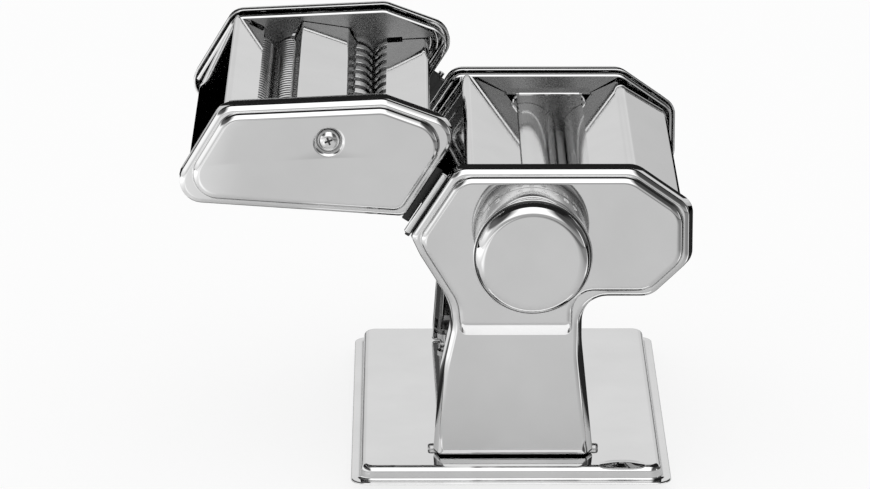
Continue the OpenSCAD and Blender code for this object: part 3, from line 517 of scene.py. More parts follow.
def steel(name, colour, roughness, wave=0.012, grain=0.0, grain_scale=(1, 1, 1), spread=0.03):
    """A metal: its colour varies softly from place to place, its polish is broken by fine hairlines, and a slow wave
    bends its reflections."""
    m = bpy.data.materials.new(name)
    t = empty_tree(m)
    place = node(t, "TexCoord")["Object"]
    stretched = node(t, "Mapping", in_Vector=place, in_Scale=grain_scale)[0]
    hair = noise(t, stretched, 900.0, 2.0)
    normal = bump(t, noise(t, place, 22.0, 1.0), wave, 0.002)
    if grain:
        normal = bump(t, hair, grain, 0.00005, in_Normal=normal)
    shader = node(t, "BsdfPrincipled", in_Metallic=1.0, in_IOR=1.5, in_Normal=normal,
                  in_Base_Color=shades(t, noise(t, place, 38.0, 3.0), colour, 1 - spread, 1 + spread, 0.3, 0.7),
                  in_Roughness=fade(t, hair, 0, 1, roughness * 0.8, roughness * 1.35))
    node(t, "OutputMaterial", in_Surface=shader[0])
    return m


def matt(name, colour, roughness, grain, scale=700.0):
    """Rubber or paint: a dull colour with a fine pebbled surface and slightly worn patches."""
    m = bpy.data.materials.new(name)
    t = empty_tree(m)
    place = node(t, "TexCoord")["Object"]
    pebble = noise(t, place, scale, 3.0)
    shader = node(t, "BsdfPrincipled", in_IOR=1.5, in_Normal=bump(t, pebble, grain, 0.0002),
                  in_Base_Color=shades(t, noise(t, place, 60.0, 2.0), colour, 0.7, 1.6),
                  in_Roughness=fade(t, pebble, 0, 1, roughness * 0.85, min(1, roughness * 1.15)))
    node(t, "OutputMaterial", in_Surface=shader[0])
    return m


def finish(name):
    """The named finish, made the first time it is asked for."""
    if name in bpy.data.materials:
        return bpy.data.materials[name]
    c = bpy.context.scene.pasta_colours
    made = {
        "polished_steel": lambda: steel(name, c.polished, c.roughness, wave=0.004),
        "dial_chrome": lambda: steel(name, c.polished, c.roughness, wave=0.0),
        "dial_satin": lambda: steel(name, c.polished, 0.16, wave=0.0),
        "guard_steel": lambda: steel(name, c.guard, 0.24, wave=0.01, grain=0.3, spread=0.1),
        "roller_steel": lambda: steel(name, c.roller, 0.09, wave=0.0, grain=0.05, grain_scale=(1, 12, 1)),
        "cutter_steel": lambda: steel(name, c.cutter, 0.12, wave=0.0, grain=0.25, grain_scale=(0.5, 6, 0.5),
                                      spread=0.08),
        "inner_steel": lambda: steel(name, c.inner, 0.28, grain=0.2, grain_scale=(1, 0.2, 1), spread=0.08),
        "bearing_bronze": lambda: steel(name, c.bearing, 0.3, grain=0.2, spread=0.08),
        "etched_digit": lambda: matt(name, c.digit, 0.5, 0.1),
        "black_rubber": lambda: matt(name, c.rubber, 0.62, 0.35),
        # Dark clips and rails, and the black pieces of painted shade.
        "clip_black_and_painted_shade": lambda: matt(name, c.clip, 0.35, 0.1, 400.0),
    }
    return made[name]()


NODE_FINISH = {
    "guard_steel": ("front_end_guard", "rear_end_guard", "head_end_guards"),
    "roller_steel": ("eccentric_shaft",),
    "bearing_bronze": ("drive_bushes", "dial_bushes", "guide_bush", "roller_sleeve", "head_bushes"),
    "black_rubber": ("foot_front_left", "foot_front_right", "foot_rear_left", "foot_rear_right"),
}


# ---- operators ----


class PASTA_OT_finishes(bpy.types.Operator):
    """Give every piece that is kept from the frame its finish, which is inner steel unless another is named"""

    bl_idname = "pasta.finishes"
    bl_label = "Finishes of the kept pieces"

    def execute(self, context):
        named = {n: name for name, nodes in NODE_FINISH.items() for n in nodes}
        for n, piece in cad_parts.items():
            piece.data.materials.clear()
            piece.data.materials.append(finish(named.get(n, "inner_steel")))
            piece.data.polygons.foreach_set("material_index", np.zeros(len(piece.data.polygons), np.int32))
        return {"FINISHED"}


class PASTA_OT_base(bpy.types.Operator):
    """Build the pressed base tray and the low round swelling on its front"""

    bl_idname = "pasta.base"
    bl_label = "Base tray"

    def execute(self, context):
        s = context.scene.pasta_pressings
        low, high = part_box("base_tray")
        x, y, foot, top = high.x / MM, high.y / MM, low.z / MM, high.z / MM
        t, r, rim, fillet, corner = s.sheet / MM, s.base_bend / MM, 4.2, 1.1, 7.2
        low_x = rim - 0.13 * (top - r - foot - t - fillet)
        curl = foot + t + fillet
        section = np.concatenate([
            [[rim + r + 0.3, top]], bow(rim + r, top - r, r, 90, 180, 12),
            [[rim - 0.01, top - r - 0.08], [low_x + 0.01, curl + 0.1]],
            bow(low_x - fillet, curl, fillet, 0, -90, 8), [[low_x - 1.2, foot + t], [t / 2 + 0.06, foot + t]],
            bow(t / 2, foot + t / 2, t / 2, 90, 270, 8), [[t / 2 + 0.06, foot], [low_x - 1.2, foot]],
            bow(low_x - fillet, curl, fillet + t, -90, 0, 8), [[low_x + t, curl + 0.05]],
            bow(rim + r, top - r, r - t, 180, 90, 8), [[rim + r + 0.3, top - t]],
        ])
        loops = [rounded(inset([[-x, -y], [x, -y], [x, y], [-x, y]], d),
                         np.full(4, max(0.5, corner - 0.38 * min(d, rim) - max(0, d - rim)))) for d in section[:, 0]]
        leg = (s.rim_out - s.flange) / MM - 4.5
        holes = [circle((px, py), 2.15, 24) for px in (-27, 29) for py in (-leg, leg)]
        patches = [walls(loops, section[:, 1], lay), flat([loops[0], *holes], top, lay),
                   flat([loops[-1], *holes], top - t, lay), *[walls([h, h], (top, top - t), lay) for h in holes]]
        make("base_pressing", patches, "polished_steel", "frame", ["base_tray"])
        sides, rise, sunk = 64, 1.0, 0.05
        k = np.linspace(0, 1, 20)[:, None]
        a = np.linspace(0, 2 * np.pi, sides, endpoint=False)
        height = top - sunk + rise * (1 - k * k) ** 2 * np.ones_like(a)
        skin = np.stack([47.5 + 11.0 * k * np.cos(a), 8.2 - y + 6.2 * k * np.sin(a), height], -1)
        crown = np.concatenate([skin[0, :1], skin[1]]), [[0, i + 1, (i + 1) % sides + 1] for i in range(sides)]
        make("base_swelling", [grid(skin[1:], closed_cols=True), crown, (skin[-1], [list(range(sides))])],
             "polished_steel", "frame", [])
        return {"FINISHED"}


class PASTA_OT_side_plates(bpy.types.Operator):
    """Build the two pressed side plates with their legs"""

    bl_idname = "pasta.side_plates"
    bl_label = "Side plates"

    def execute(self, context):
        s = context.scene.pasta_pressings
        shaft_hole, eccentric_hole, socket_hole, slot_in, slot_out = 6, 6.55, 8, 14.5, 19.5
        turn = np.radians(np.linspace(31, 161.5, 40))
        around = np.stack([np.cos(turn), np.sin(turn)], 1)
        slot = np.concatenate([DIAL + slot_in * around, DIAL + slot_out * around[::-1]])
        for name, node_name, holes, mirror in (
            ("front_pressing", "front_side_plate", [circle(DIAL, shaft_hole), slot], True),
            ("rear_pressing", "rear_side_plate", [circle(FIXED, socket_hole), circle(DIAL, eccentric_hole)], False),
        ):
            patches = pressed_pan(s, BODY_OUTLINE, BODY_RADII, RAISED_OUTLINE, RAISED_RADII, holes, BAND, BODY_LEAN,
                                  RAISED_LEAN)
            make(name, patches, "polished_steel", "frame", [node_name], mirror)
        return {"FINISHED"}


class PASTA_OT_head_plates(bpy.types.Operator):
    """Build the cutter head's two pressed plates"""

    bl_idname = "pasta.head_plates"
    bl_label = "Head plates"

    def execute(self, context):
        s = context.scene.pasta_pressings
        socket_hole = 6.1
        sockets = [circle(FINE_RIGHT, socket_hole), circle(WIDE_LEFT, socket_hole)]
        for name, node_name, holes, mirror in (("head_front_pressing", "head_front_plate", [], True),
                                               ("head_rear_pressing", "head_rear_plate", sockets, False)):
            patches = pressed_pan(s, HEAD_OUTLINE, HEAD_RADII, HEAD_OUTLINE, HEAD_RAISED_RADII,
                                  [circle(HEAD_SCREW, DIMPLE_R), *holes], unwalled=1) + dimple(s, HEAD_SCREW)
            make(name, patches, "polished_steel", "cutter_head", [node_name], mirror)
        return {"FINISHED"}


class PASTA_OT_head_screws(bpy.types.Operator):
    """Build the cross-head screws in the head plates' dimples, each with a flat black cross at its top as painted shade
    of the cross recess
    """

    bl_idname = "pasta.head_screws"
    bl_label = "Head screws"

    def execute(self, context):
        seat, shank, rim = context.scene.pasta_pressings.face_out / MM - 2.15, 1.5, 4.0
        dome = np.concatenate([[[seat - 9, 0], [seat - 9, shank], [seat, shank], [seat, rim], [seat + 0.1, rim + 0.15]],
                               sweep([0, 45, 90], [1.2, 3.4], 6)[:, ::-1] * [1, -1] + [seat + 0.2, rim + 0.2]])
        top = dome[-1, 0]
        half, reach, sunk, proud = 0.42, 1.75, 0.1, 0.03
        arm = np.array([[half, half], [half, reach], [-half, reach]])
        quarter = np.array([[0, 1], [-1, 0]])
        cross = np.concatenate([arm @ np.linalg.matrix_power(quarter, k) for k in range(4)])
        outline = HEAD_SCREW + cross @ np.array([[0.94, 0.34], [-0.34, 0.94]])
        domes, crosses = [], []
        for sign in (-1, 1):
            domes.append(turned(np.concatenate([dome, [[top, 0]]]) * [sign, 1], HEAD_SCREW, 48))
            # A flat black cross through the dome's top: painted shade where the cross recess would be.
            crosses += closed([outline, outline], (sign * (top - sunk), sign * (top + proud)))
        make("head_screw_domes", domes, "dial_chrome", "cutter_head", ["head_plate_screws"])
        make("head_screw_painted_shade_crosses", crosses, "clip_black_and_painted_shade", "cutter_head", [])
        return {"FINISHED"}


def bent_strip(name, path, radii, thickness, end, body, replaced):
    """A bent sheet: its section, the path and the same path moved aside by the thickness, is carried along Y between
    two ends."""
    turn = np.zeros(len(path))
    e = np.diff(np.asarray(path, float), axis=0)
    turn[1:-1] = np.sign(e[:-1, 0] * e[1:, 1] - e[:-1, 1] * e[1:, 0])
    inner = rounded_path(beside(path, thickness), np.maximum(0.3, np.asarray(radii, float) - turn * thickness), 12)
    section = np.concatenate([rounded_path(path, radii, 12), inner[::-1]])
    patches = closed([section] * 4, (-end, -end + 0.05, end - 0.05, end))
    return make(name, patches, "polished_steel", body, replaced)


class PASTA_OT_covers(bpy.types.Operator):
    """Build the bent covers of the body and of the cutter head"""

    bl_idname = "pasta.covers"
    bl_label = "Covers"

    def execute(self, context):
        t = context.scene.pasta_pressings.cover_sheet / MM
        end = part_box("left_cover")[1].y / MM
        a, fine, wide = AXIS_HEIGHT, FINE_TOP, WIDE_TOP
        rise, head_rise, centre_fall = np.tan(np.radians([27.3, 27.2, 8.5]))
        edge = np.array([5, a + 15.4])
        fold = edge + [-23.3, 23.3 * rise]
        bent_strip("left_bent_cover", [edge, fold, [RAIL_FOOT[0] + 4.6, a - 3.4], [-27.5, a - 25.4],
                                       [-15.5, a - 25.4]], [0, 3, 4, 3, 0], t, end, "frame", ["left_cover"])
        edge = np.array([FIXED[0] - 4.7, a + 15.7])
        fold = edge + [16.9, 16.9 * rise]
        bent_strip("right_bent_cover", [[RIGHT - 30.6, a - 25.4], [RIGHT - 18.6, a - 25.4], [RIGHT - 3.6, a - 11.4],
                                        [RIGHT - 4.4, fold[1] - 14], fold, edge],
                   [0, 4, 4, 4, 5, 0], t, end, "frame", ["right_cover"])
        edge = np.array([-108.4, fine + 3.7])
        fold = edge + [-12.6, 12.6 * head_rise]
        bent_strip("head_left_bent_cover", [edge, fold, [-139, fine - 22.9], [-133, fine - 28.6], [-121, fine - 29.8]],
                   [0, 2.5, 5, 3, 0], t, end, "cutter_head", ["head_left_cover"])
        bent_strip("head_right_bent_cover", [[-58.5, fine - 31.6], rail(9.5, HOOK_GAP + 9), rail(45.5, HOOK_GAP + 9),
                                             [-53.4, wide + 1.1]], [0, 4, 3, 0], t, end,
                   "cutter_head", ["head_right_cover"])
        left_fold = np.array([-91, fine + 7.4])
        right_fold = left_fold + [20.8, -20.8 * centre_fall]
        bent_strip("head_centre_bent_panel", [[WIDE_LEFT[0] + 0.1, wide + 0.6], right_fold, left_fold,
                                              [FINE_RIGHT[0] + 0.7, fine + 0.6]], [0, 1.6, 1, 0], t,
                   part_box("head_centre_panel")[1].y / MM, "cutter_head", ["head_centre_panel"])
        return {"FINISHED"}


def lip(path, radii, y0, y1, sign):
    """Patches of a rounded lip under an open stretch of outline: its section, a flat top that rolls down towards the
    middle, is carried along the stretch at growing insets."""
    edge, roll = 1.37, 1.25
    section = np.concatenate([[[edge, y1]], bow(edge + roll, y0 + roll, roll, 180, 270, 8), [[edge + roll, y1]]])
    rows = np.stack([lift(rounded_path(beside(path, d), np.maximum(0.3, np.asarray(radii, float) - d), 10), sign * y)
                     for d, y in section])
    return [grid(rows, closed_rows=True), *[(rows[:, i], [list(range(len(section)))]) for i in (0, -1)]]


class PASTA_OT_lips(bpy.types.Operator):
    """Build the bright lips that close the hoppers under the plates' edges"""

    bl_idname = "pasta.lips"
    bl_label = "Hopper lips"

    def execute(self, context):
        h = HEAD_OUTLINE
        head_path = [h[0] + 0.2 * (h[1] - h[0]), *h[1:4], h[3] + 0.7 * (h[4] - h[3])]
        left, right, ledge, foot, z = 6.2, 33.6, 74.7, 2.0, AXIS_HEIGHT + 18.0
        body, head, edges = [], [], []
        for sign in (-1, 1):
            body += lip(BODY_OUTLINE[5:10], BODY_RADII[5:10], 75.7, 77.9, sign)
            head += lip(head_path, HEAD_RADII, 72.6, 73.95, sign)
            y = sign * ledge
            edges += rod([left, y, z], [right, y, z], 0.85) + rod([left, y, z], [4.1, y, z - foot], 0.7)
            edges += rod([right, y, z], [35.4, y, z - foot], 0.7)
        make("body_hopper_lips", body, "polished_steel", "frame", [])
        make("head_hopper_lips", head, "polished_steel", "cutter_head", [])
        make("ledge_rolls", edges, "polished_steel", "frame", [])
        return {"FINISHED"}


class PASTA_OT_dial(bpy.types.Operator):
    """Build the thickness dial: cap, a black ring of painted shade in the groove behind its rounded edge, skirt and
    digits
    """

    bl_idname = "pasta.dial"
    bl_label = "Thickness dial"

    def execute(self, context):
        s = context.scene.pasta_turned
        wall, bead, shoulder, proud, hub = 1.5, 0.42, 0.95, 0.5, 4.6
        low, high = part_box("dial_cap")
        r, front, back = (high.x - low.x) / 2 / MM + proud, -low.y / MM, -high.y / MM
        low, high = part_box("dial_skirt")
        skirt, foot = (high.x - low.x) / 2 / MM, -high.y / MM
        k = s.dial_round / MM / 5.35
        bend = sweep([0, 40, 75, 90], [5.6 * k, 3.9 * k, 7.8 * k], 8)
        edge = front - bend[-1, 1]
        hollow = skirt - wall - 0.05
        cap = np.concatenate([
            [[front, 0], [front, r - shoulder - bend[-1, 0] - 0.4]],
            np.stack([edge + bend[:, 1], r - shoulder - bend[:, 0]], 1)[::-1],
            bow(0, 0, bead, 0, 130, 10) + [edge - 0.4, r - bead],
            [[edge - 0.75, r - 0.4], [back + 0.5, r - 0.4], [back + 0.12, r - 0.5], [back, r - 0.8], [back, hollow],
             [edge, hollow]],
            [edge, hollow] + sweep([0, 90], [bend[-1, 1] - wall], 8)[:, ::-1] * [1, -1], [[front - wall, 0]],
        ])
        make("dial_turned_cap", [turned(cap, DIAL, 160)], "dial_chrome", "dial", ["dial_cap"], True)
        # A black ring in the groove behind the cap's rounded edge: painted shade where the groove is dark.
        shade_ring = np.array([[0.03, -1.2], [0.03, -0.42], [0.3, -0.5], [0.5, -0.9], [0.3, -1.2], [0.03, -1.2]]) + [edge, r]
        make("dial_painted_shade_ring", [turned(shade_ring, DIAL, 160)], "clip_black_and_painted_shade", "dial", [], True)
        out, web, bore = back - 0.02, foot + 4, skirt - wall
        ring = np.concatenate([
            [foot, skirt] + np.array([[0, -0.35], [0.1, -0.1], [0.35, 0], [0.45, 0]]),
            [out, skirt] + np.array([[-1.6, 0], [-1.5, -0.02], [-1.2, -0.4], [-0.6, -0.55], [0, -0.55]]),
            [[out, bore], [web + 3.2, bore], [web + 3.2, hub], [web, hub], [web, bore], [foot, bore],
             [foot, skirt - 0.35]],
        ])
        make("dial_turned_skirt", [turned(ring, DIAL, 160)], "dial_satin", "dial", ["dial_skirt"], True,
             24)
        for k in range(10):
            self.digit(context, k, s.digit_height / MM, skirt, foot + 0.9)
        return {"FINISHED"}

    def digit(self, context, k, height, radius, start):
        """One digit laid on the skirt: its flat outline is wrapped round the dial's axis, one setting step apart from
        the next."""
        em, step, top_digit, gap = 1.38, 12.5, 5, 0.01
        text = bpy.data.curves.new("digit_text", "FONT")
        text.body, text.size, text.extrude = str(k), height * em, 0.06
        text.resolution_u, text.align_x = 3, "CENTER"
        holder = add_object("digit_text", text)
        outline = bpy.data.meshes.new_from_object(holder.evaluated_get(context.evaluated_depsgraph_get()))
        bpy.data.objects.remove(holder)
        v = np.empty(len(outline.vertices) * 3)
        outline.vertices.foreach_get("co", v)
        v = v.reshape(-1, 3)
        faces = [list(p.vertices) for p in outline.polygons]
        bpy.data.meshes.remove(outline)
        r = radius + gap + v[:, 2]
        a = math.radians(90 + (top_digit - k) * step) - v[:, 0] / radius
        points = np.stack([DIAL[0] + r * np.cos(a), v[:, 1] - start - height, DIAL[1] + r * np.sin(a)], 1)
        make(f"dial_digit_{k}", [(points, faces)], "etched_digit", "dial", [], sharp=30)


def journal_end(r, bore, depth, start, end):
    """Section of a crank socket: a collar on a shaft with a round bore in its end."""
    return [[start, r - 0.3], [start + 0.3, r], [end - 0.4, r], [end, r - 0.4], [end, bore + 0.4], [end - 0.4, bore],
            [end - depth, bore], [end - depth, 0]]


def rod(start, end, r, steps=24):
    """A straight rod with slightly rounded ends between two points: circles about the line, carried along it."""
    a, b = np.asarray(start, float), np.asarray(end, float)
    w = unit(b - a)
    u = unit(np.cross(w, [0, 1, 0]))
    turn = np.arange(steps) * 2 * np.pi / steps
    ring = u * np.cos(turn)[:, None] + np.cross(w, u) * np.sin(turn)[:, None]
    c = 0.15 * r
    ends = [(a, r - c), (a + w * c, r), (a + w * 2 * c, r), (b - w * 2 * c, r), (b - w * c, r), (b, r - c)]
    return capped(np.stack([p + ring * q for p, q in ends]))


def rail_bar(along, out, ends, r=0.3):
    """A bar beside the body's edge, between two places along the edge, two distances out from it and two ends along Y:
    its outline, with rounded corners, is carried along Y, and its ends are chamfered by a small inset."""
    (t0, t1), (s0, s1), (y0, y1), chamfer = along, out, ends, 0.2
    corners = [rail(t0, s1), rail(t1, s1), rail(t1, s0), rail(t0, s0)]
    loops = [rounded(inset(corners, d), np.full(4, r + 0.3 - d)) for d in (chamfer, 0, 0, chamfer)]
    return closed(loops, (y0, y0 + chamfer, y1 - chamfer, y1))


class PASTA_OT_hooks(bpy.types.Operator):
    """Build the head's hooks, with black webs of painted shade in the gap behind them, and the body's rails that they
    slide over
    """

    bl_idname = "pasta.hooks"
    bl_label = "Hooks and rails"

    def execute(self, context):
        out = float(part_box("head_hooks")[1].y) / MM
        start, end, tube_r, tube_out = 1.2, 31.0, 1.4, 2.1
        (x0, z0), (x1, z1) = rail(start, tube_out), rail(end, tube_out)
        tubes, webs, rails, clips = [], [], [], []
        for sign in (-1, 1):
            y = sign * (out - tube_r - 0.05)
            tubes += rod([x0, y, z0], [x1, y, z1], tube_r)
            # The webs deep in the gap behind the hooks are black: painted shade where the gap is in shadow.
            web = sorted((sign * (out - 7.6), sign * (out - 6.6)))
            webs += rail_bar((start + 3, end - 0.4), (3.2, HOOK_GAP - 0.06), web)
            y0, y1 = sorted((sign * (out - 7.2), sign * (out - 3.4)))
            rails += rail_bar((-0.4, 29), (0.12, 1.9), (y0, y1))
            clips += rail_bar((20, 28.6), (1.95, 2.75), (y0 + 0.4, y1 - 0.4), 0.02)
        make("rail_spring_clips", clips, "clip_black_and_painted_shade", "frame", ["rail_clips"])
        make("head_hook_tubes", tubes, "polished_steel", "cutter_head", ["head_hooks"])
        make("head_hook_webs_painted_shade", webs, "clip_black_and_painted_shade", "cutter_head", [])
        make("body_rail_bars", rails, "clip_black_and_painted_shade", "frame", ["head_rails"])
        return {"FINISHED"}


class PASTA_OT_feet(bpy.types.Operator):
    """Build the bars that hold the feet to the side plates' legs"""

    bl_idname = "pasta.feet"
    bl_label = "Foot bars"

    def execute(self, context):
        low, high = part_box("foot_bars")
        y, z0, z1 = high.y / MM, low.z / MM, high.z / MM
        r = 2.2
        a = np.radians(np.linspace(0, 180, 13))
        arch = np.stack([r * np.cos(a), min(r, z1 - z0) * np.sin(a)], 1)
        taper = np.array([[0.6, 0.55], [0.7, 0.8], [1.3, 0.97], [2, 1]])
        pieces = []
        for sign, start, end in ((-1, -36.2, 38.4), (1, -30, 36)):
            sizes = np.concatenate([taper + [start, 0], taper[::-1] * [-1, 1] + [end, 0]])
            pieces += capped(np.stack([
                np.column_stack([np.full(len(a), x), sign * (y - 2 * r) + arch[:, 0] * k, z0 + arch[:, 1] * k])
                for x, k in sizes]))
        make("foot_bar_rods", pieces, "inner_steel", "frame", ["foot_bars"])
        return {"FINISHED"}


class PASTA_OT_rollers(bpy.types.Operator):
    """Build the two smooth rollers"""

    bl_idname = "pasta.rollers"
    bl_label = "Smooth rollers"

    def execute(self, context):
        e, r, c = ROLLER_END, 14.0, 0.3
        barrel = [[-e, r - c], [-e + c, r], [-e + 0.4, r], [e - 0.4, r], [e - c, r], [e, r - c]]
        sleeve, shaft, hub, recess, tail = 7.05, 5.09, 8.5, 59.5, 85
        ring = [[-e, sleeve], *barrel, [e, hub], [tail, hub], [tail, shaft], [e + 0.05, shaft], [e + 0.05, sleeve],
                [recess, sleeve], [recess, shaft], [-recess, shaft], [-recess, sleeve], [-e, sleeve]]
        make("adjustable_turned_roller", [turned(ring, MOVING, 128)], "roller_steel", "adjustable_roller",
             ["adjustable_roller"])
        journal, start, collar = 4.5, -78.05, 85.05
        bar = [[start, 0], [start, journal - c], [start + c, journal], [-e, journal], *barrel, [e, journal],
               [collar, journal], *journal_end(7, 4, 9, collar, SOCKET_END)]
        make("drive_turned_roller", [turned(bar, FIXED, 128)], "roller_steel", "drive_roller", ["drive_roller"])
        return {"FINISHED"}


class PASTA_OT_cutters(bpy.types.Operator):
    """Build the four grooved cutting rollers"""

    bl_idname = "pasta.cutters"
    bl_label = "Cutting rollers"

    def execute(self, context):
        c = context.scene.pasta_turned.disc_chamfer / MM
        e, r, root, journal = ROLLER_END, 8.4, 6.3, 3.0
        for name, axis, w, shift, room, socket in (
            ("fine_cutter_left", FINE_LEFT, 2.0, 0, 0.12, False), ("fine_cutter_right", FINE_RIGHT, 2.0, 1, 0.12, True),
            ("wide_cutter_left", WIDE_LEFT, 6.5, 0, 0.15, True), ("wide_cutter_right", WIDE_RIGHT, 6.5, 1, 0.15, False),
        ):
            count = int((e - 1) / w)
            i = np.arange(-count - 1, count + 1)
            i = i[(i + shift) % 2 == 0]
            low, high = np.clip(i * w + room, -e, e), np.clip((i + 1) * w - room, -e, e)
            low, high = low[high - low > 0.5], high[high - low > 0.5]
            corners = ((low, root), (low, r - c), (low + c, r), (high - c, r), (high, r - c), (high, root))
            discs = np.stack([np.stack([y, np.full(len(y), level)], 1) for y, level in corners], 1).reshape(-1, 2)
            head = [[-77.65, 0], [-77.65, journal - 0.2], [-77.45, journal], [-e, journal], [-e, root]]
            tail = [[e, root], [e, journal]]
            tail += ([[85.5, journal], *journal_end(5.3, 3, 8, 85.5, SOCKET_END)] if socket
                     else [[85.4, journal], [85.6, journal - 0.2], [85.6, 0]])
            make(name.replace("cutter", "grooved_roller"), [turned(np.concatenate([head, discs, tail]), axis, 64)],
                 "cutter_steel", name.replace("_cutter", ""), [name])
        return {"FINISHED"}


# ---- the studio ----


def world_light(context):
    """Plain light all round. Mirrors see a studio by direction: pale low down behind, dark above that, a bright cloth
    that leans over the front, dark at both its sides, and a dim horizon in front. A wall far to the left is bright low
    down, and one far to the right is bright but for a dark strip in its middle."""
    world = bpy.data.worlds.new("studio")
    context.scene.world = world
    t = empty_tree(world)
    place = node(t, "TexCoord")["Generated"]
    x, y, z = node(t, "SeparateXYZ", in_Vector=place)
    height = node(t, "Math", operation="MULTIPLY_ADD", in_0=z, in_1=0.5, in_2=0.5)[0]
    width = node(t, "Math", operation="ABSOLUTE", in_0=x)[0]

    def greys(*stops):
        """Greys over the height of the direction, from -1 straight down to 1 straight up."""
        return ramp(t, height, [(z / 2 + 0.5, (v, v, v)) for z, v in stops])

    def mix(factor, a, b):
        """One colour where the factor is 0 and another where it is 1."""
        return node(t, "Mix", data_type="RGBA", in_Factor=factor, in_6=a, in_7=b)[2]

    rear = greys((-1, 0.3), (-0.02, 0.3), (0.02, 0.33), (0.112, 0.37), (0.164, 0.46), (0.245, 0.43), (0.315, 0.51),
                 (0.335, 0.5), (0.36, 0.01), (1, 0.01))
    window = greys((-1, 0.3), (-0.1, 0.28), (0.16, 0.3), (0.25, 0.85), (0.4, 0.95), (1, 0.95))
    left = greys((-1, 0.5), (0.0, 0.5), (0.28, 0.46), (0.42, 0.1), (0.6, 0.05), (1, 0.05))
    right = greys((-1, 0.3), (-0.1, 0.28), (0.1, 0.22), (0.3, 0.09), (0.6, 0.05), (1, 0.05))
    left_wall = greys((-1, 0.5), (0.0, 0.55), (0.3, 0.8), (0.42, 0.1), (1, 0.05))
    bright = greys((-1, 0.8), (0.25, 0.8), (0.4, 0.1), (1, 0.05))
    dark = greys((-1, 0.06), (1, 0.05))
    right_wall = mix(fade(t, y, -0.24, -0.2), right, mix(fade(t, y, -0.11, -0.07), bright, dark))
    front = mix(fade(t, width, 0.28, 0.52), window, mix(fade(t, x, -0.1, 0.1), left, right))
    studio = mix(fade(t, y, -0.08, -0.02), front, rear)
    studio = mix(fade(t, x, -0.68, -0.82), studio, left_wall)
    studio = mix(fade(t, x, 0.68, 0.8), studio, right_wall)
    mirrored, plain, backdrop = [
        node(t, "Background", in_Color=colour, in_Strength=strength)[0]
        for colour, strength in ((studio, 2.0), ((1, 1, 1, 1), 0.95), ((1, 1, 1, 1), 1.0))]
    path = node(t, "LightPath")
    lit = choose(t, path["Is Glossy Ray"], plain, mirrored)
    node(t, "OutputWorld", in_Surface=choose(t, path["Is Camera Ray"], lit, backdrop))


def floor_finish(colour):
    """The floor: pale and dull. Seen straight on it is mostly white and keeps the shadow. In mirrors it carries painted
    light and painted shade: a painted pool of light to the left, painted shade to the right, painted dark patches and
    painted glowing patches by place, and it ends some way behind."""
    m = bpy.data.materials.new("studio_floor")
    t = empty_tree(m)
    path = node(t, "LightPath")
    dull = node(t, "BsdfDiffuse", in_Color=(*colour, 1))[0]
    white = node(t, "Emission", in_Strength=1.0)[0]
    direct = choose(t, combine(t, "MULTIPLY", path["Is Camera Ray"], 0.82), dull, white)
    place = node(t, "TexCoord")["Object"]
    x, y, _ = node(t, "SeparateXYZ", in_Vector=place)
    # Painted shade, seen only in mirrors: dark patches behind to the right and behind to the left, so that edges of the
    # plates and legs reflect dark.
    black = 0.04
    ahead_of = fade(t, y, -0.05, -0.02, 1.0, black)
    beyond = combine(t, "MAXIMUM", ahead_of, fade(t, x, 0.085, 0.11, 1.0, black))
    between = combine(t, "MAXIMUM", ahead_of, fade(t, x, -0.1, -0.09, black, 1.0), fade(t, x, -0.22, -0.19, 1.0, black))
    behind = fade(t, y, 0.42, 0.50, 1.0, 0.0)
    # Painted shade towards the right and far ahead, seen only in mirrors.
    shade = combine(t, "MULTIPLY", fade(t, x, 0.08, 0.36, 0.9, 0.36), beyond, between, behind,
                    fade(t, y, -0.98, -0.74, 0.6, 1.0))
    # Painted light, seen only in mirrors: a painted pool of light to the left and painted glowing strips near the front
    # that give highlights.
    spot = combine(t, "MULTIPLY", fade(t, x, -0.13, -0.20, 0.0, 0.7), fade(t, y, -0.20, -0.32, 0.3, 1.0),
                   fade(t, x, -0.34, -0.26, 0.3, 1.0))
    left = combine(t, "MULTIPLY", combine(t, "MAXIMUM", fade(t, x, -0.20, -0.55, 0.0, 0.9), spot), behind)
    strip = combine(t, "MULTIPLY", fade(t, y, -0.11, -0.09, 0.0, 0.9), fade(t, y, -0.02, -0.04), fade(t, x, 0.16, 0.2))
    near = combine(t, "MULTIPLY", fade(t, y, -0.132, -0.126, 0.0, 0.8), fade(t, y, -0.100, -0.104),
                   fade(t, x, -0.1, -0.09), fade(t, x, 0.1, 0.09))
    glow = node(t, "Emission", in_Strength=combine(t, "ADD", left, strip, near))[0]
    shaded = node(t, "BsdfDiffuse", in_Color=shade)[0]
    mirrored = node(t, "AddShader", in_0=shaded, in_1=glow)[0]
    node(t, "OutputMaterial", in_Surface=choose(t, path["Is Glossy Ray"], direct, mirrored))
    return m


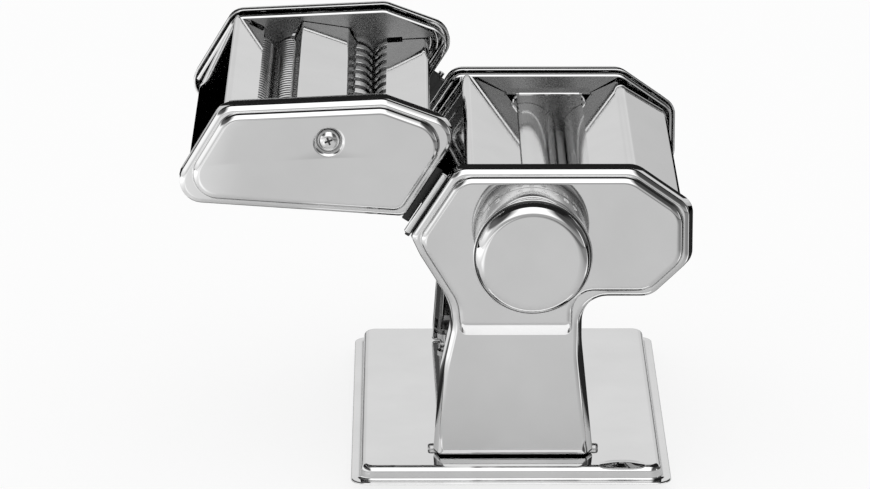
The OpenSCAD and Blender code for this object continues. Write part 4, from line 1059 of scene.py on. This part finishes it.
class PASTA_OT_studio(bpy.types.Operator):
    """Set the floor, the light and the camera"""

    bl_idname = "pasta.studio"
    bl_label = "Studio"

    def execute(self, context):
        s = context.scene.pasta_studio
        context.scene.view_settings.view_transform = "Standard"
        world_light(context)
        half = 4
        mesh = bpy.data.meshes.new("studio_floor")
        mesh.from_pydata([(-half, -half, 0), (half, -half, 0), (half, half, 0), (-half, half, 0)], [], [(0, 1, 2, 3)])
        mesh.materials.append(floor_finish(s.floor_colour))
        floor = add_object("studio_floor", mesh)
        lamp = bpy.data.lights.new("overhead_lamp", "AREA")
        lamp.shape, lamp.size, lamp.energy = "DISK", 1.2, s.lamp_power
        holder = add_object("overhead_lamp", lamp)
        holder.location = (-0.3, -0.5, 1.6)
        holder.rotation_euler = Vector((0.3, 0.5, -1.5)).to_track_quat("-Z", "Y").to_euler()
        holder.visible_glossy = False
        camera = bpy.data.cameras.new("camera")
        camera.lens, camera.sensor_width, camera.sensor_fit = s.lens, 36, "HORIZONTAL"
        camera.clip_start, camera.clip_end = 0.05, 50
        turn, pitch = s.camera_turn, s.camera_pitch
        forward = Vector((math.sin(turn) * math.cos(pitch), math.cos(turn) * math.cos(pitch), -math.sin(pitch)))
        right = Vector((math.cos(turn), -math.sin(turn), 0))
        pose = Matrix((right, right.cross(forward), -forward)).transposed().to_4x4()
        pose.translation = (s.camera_side, -s.camera_distance, s.camera_height)
        context.scene.camera = add_object("camera", camera)
        context.scene.camera.matrix_world = pose
        return {"FINISHED"}


class PASTA_PT_panel(bpy.types.Panel):
    """The machine's pieces, in the sidebar"""

    bl_idname = "PASTA_PT_panel"
    bl_label = "Pasta roller machine"
    bl_space_type = "VIEW_3D"
    bl_region_type = "UI"
    bl_category = "Pasta machine"

    def draw(self, context):
        for group in GROUPS:
            box = self.layout.box()
            settings = getattr(context.scene, group)
            for name in settings.__annotations__:
                box.prop(settings, name)
        for operator in OPERATORS:
            self.layout.operator(operator.bl_idname)


GROUPS = {"pasta_pressings": PressingSizes, "pasta_turned": TurnedSizes, "pasta_colours": FinishColours,
          "pasta_studio": StudioSettings}
OPERATORS = (PASTA_OT_finishes, PASTA_OT_base, PASTA_OT_side_plates, PASTA_OT_head_plates, PASTA_OT_head_screws,
             PASTA_OT_covers, PASTA_OT_lips, PASTA_OT_hooks, PASTA_OT_feet, PASTA_OT_dial, PASTA_OT_rollers,
             PASTA_OT_cutters, PASTA_OT_studio)


def register():
    """Registers the classes and puts their settings on the scene."""
    for cls in (*GROUPS.values(), *OPERATORS, PASTA_PT_panel):
        bpy.utils.register_class(cls)
    for name, cls in GROUPS.items():
        setattr(bpy.types.Scene, name, bpy.props.PointerProperty(type=cls))


def unregister():
    """Takes the settings and classes away again."""
    for name in GROUPS:
        delattr(bpy.types.Scene, name)
    for cls in reversed((*GROUPS.values(), *OPERATORS, PASTA_PT_panel)):
        bpy.utils.unregister_class(cls)


def main():
    """Builds every piece in order."""
    register()
    bpy.ops.pasta.finishes()
    bpy.ops.pasta.base()
    bpy.ops.pasta.side_plates()
    bpy.ops.pasta.head_plates()
    bpy.ops.pasta.head_screws()
    bpy.ops.pasta.covers()
    bpy.ops.pasta.lips()
    bpy.ops.pasta.hooks()
    bpy.ops.pasta.feet()
    bpy.ops.pasta.dial()
    bpy.ops.pasta.rollers()
    bpy.ops.pasta.cutters()
    bpy.ops.pasta.studio()


if __name__ == "__main__":
    main()
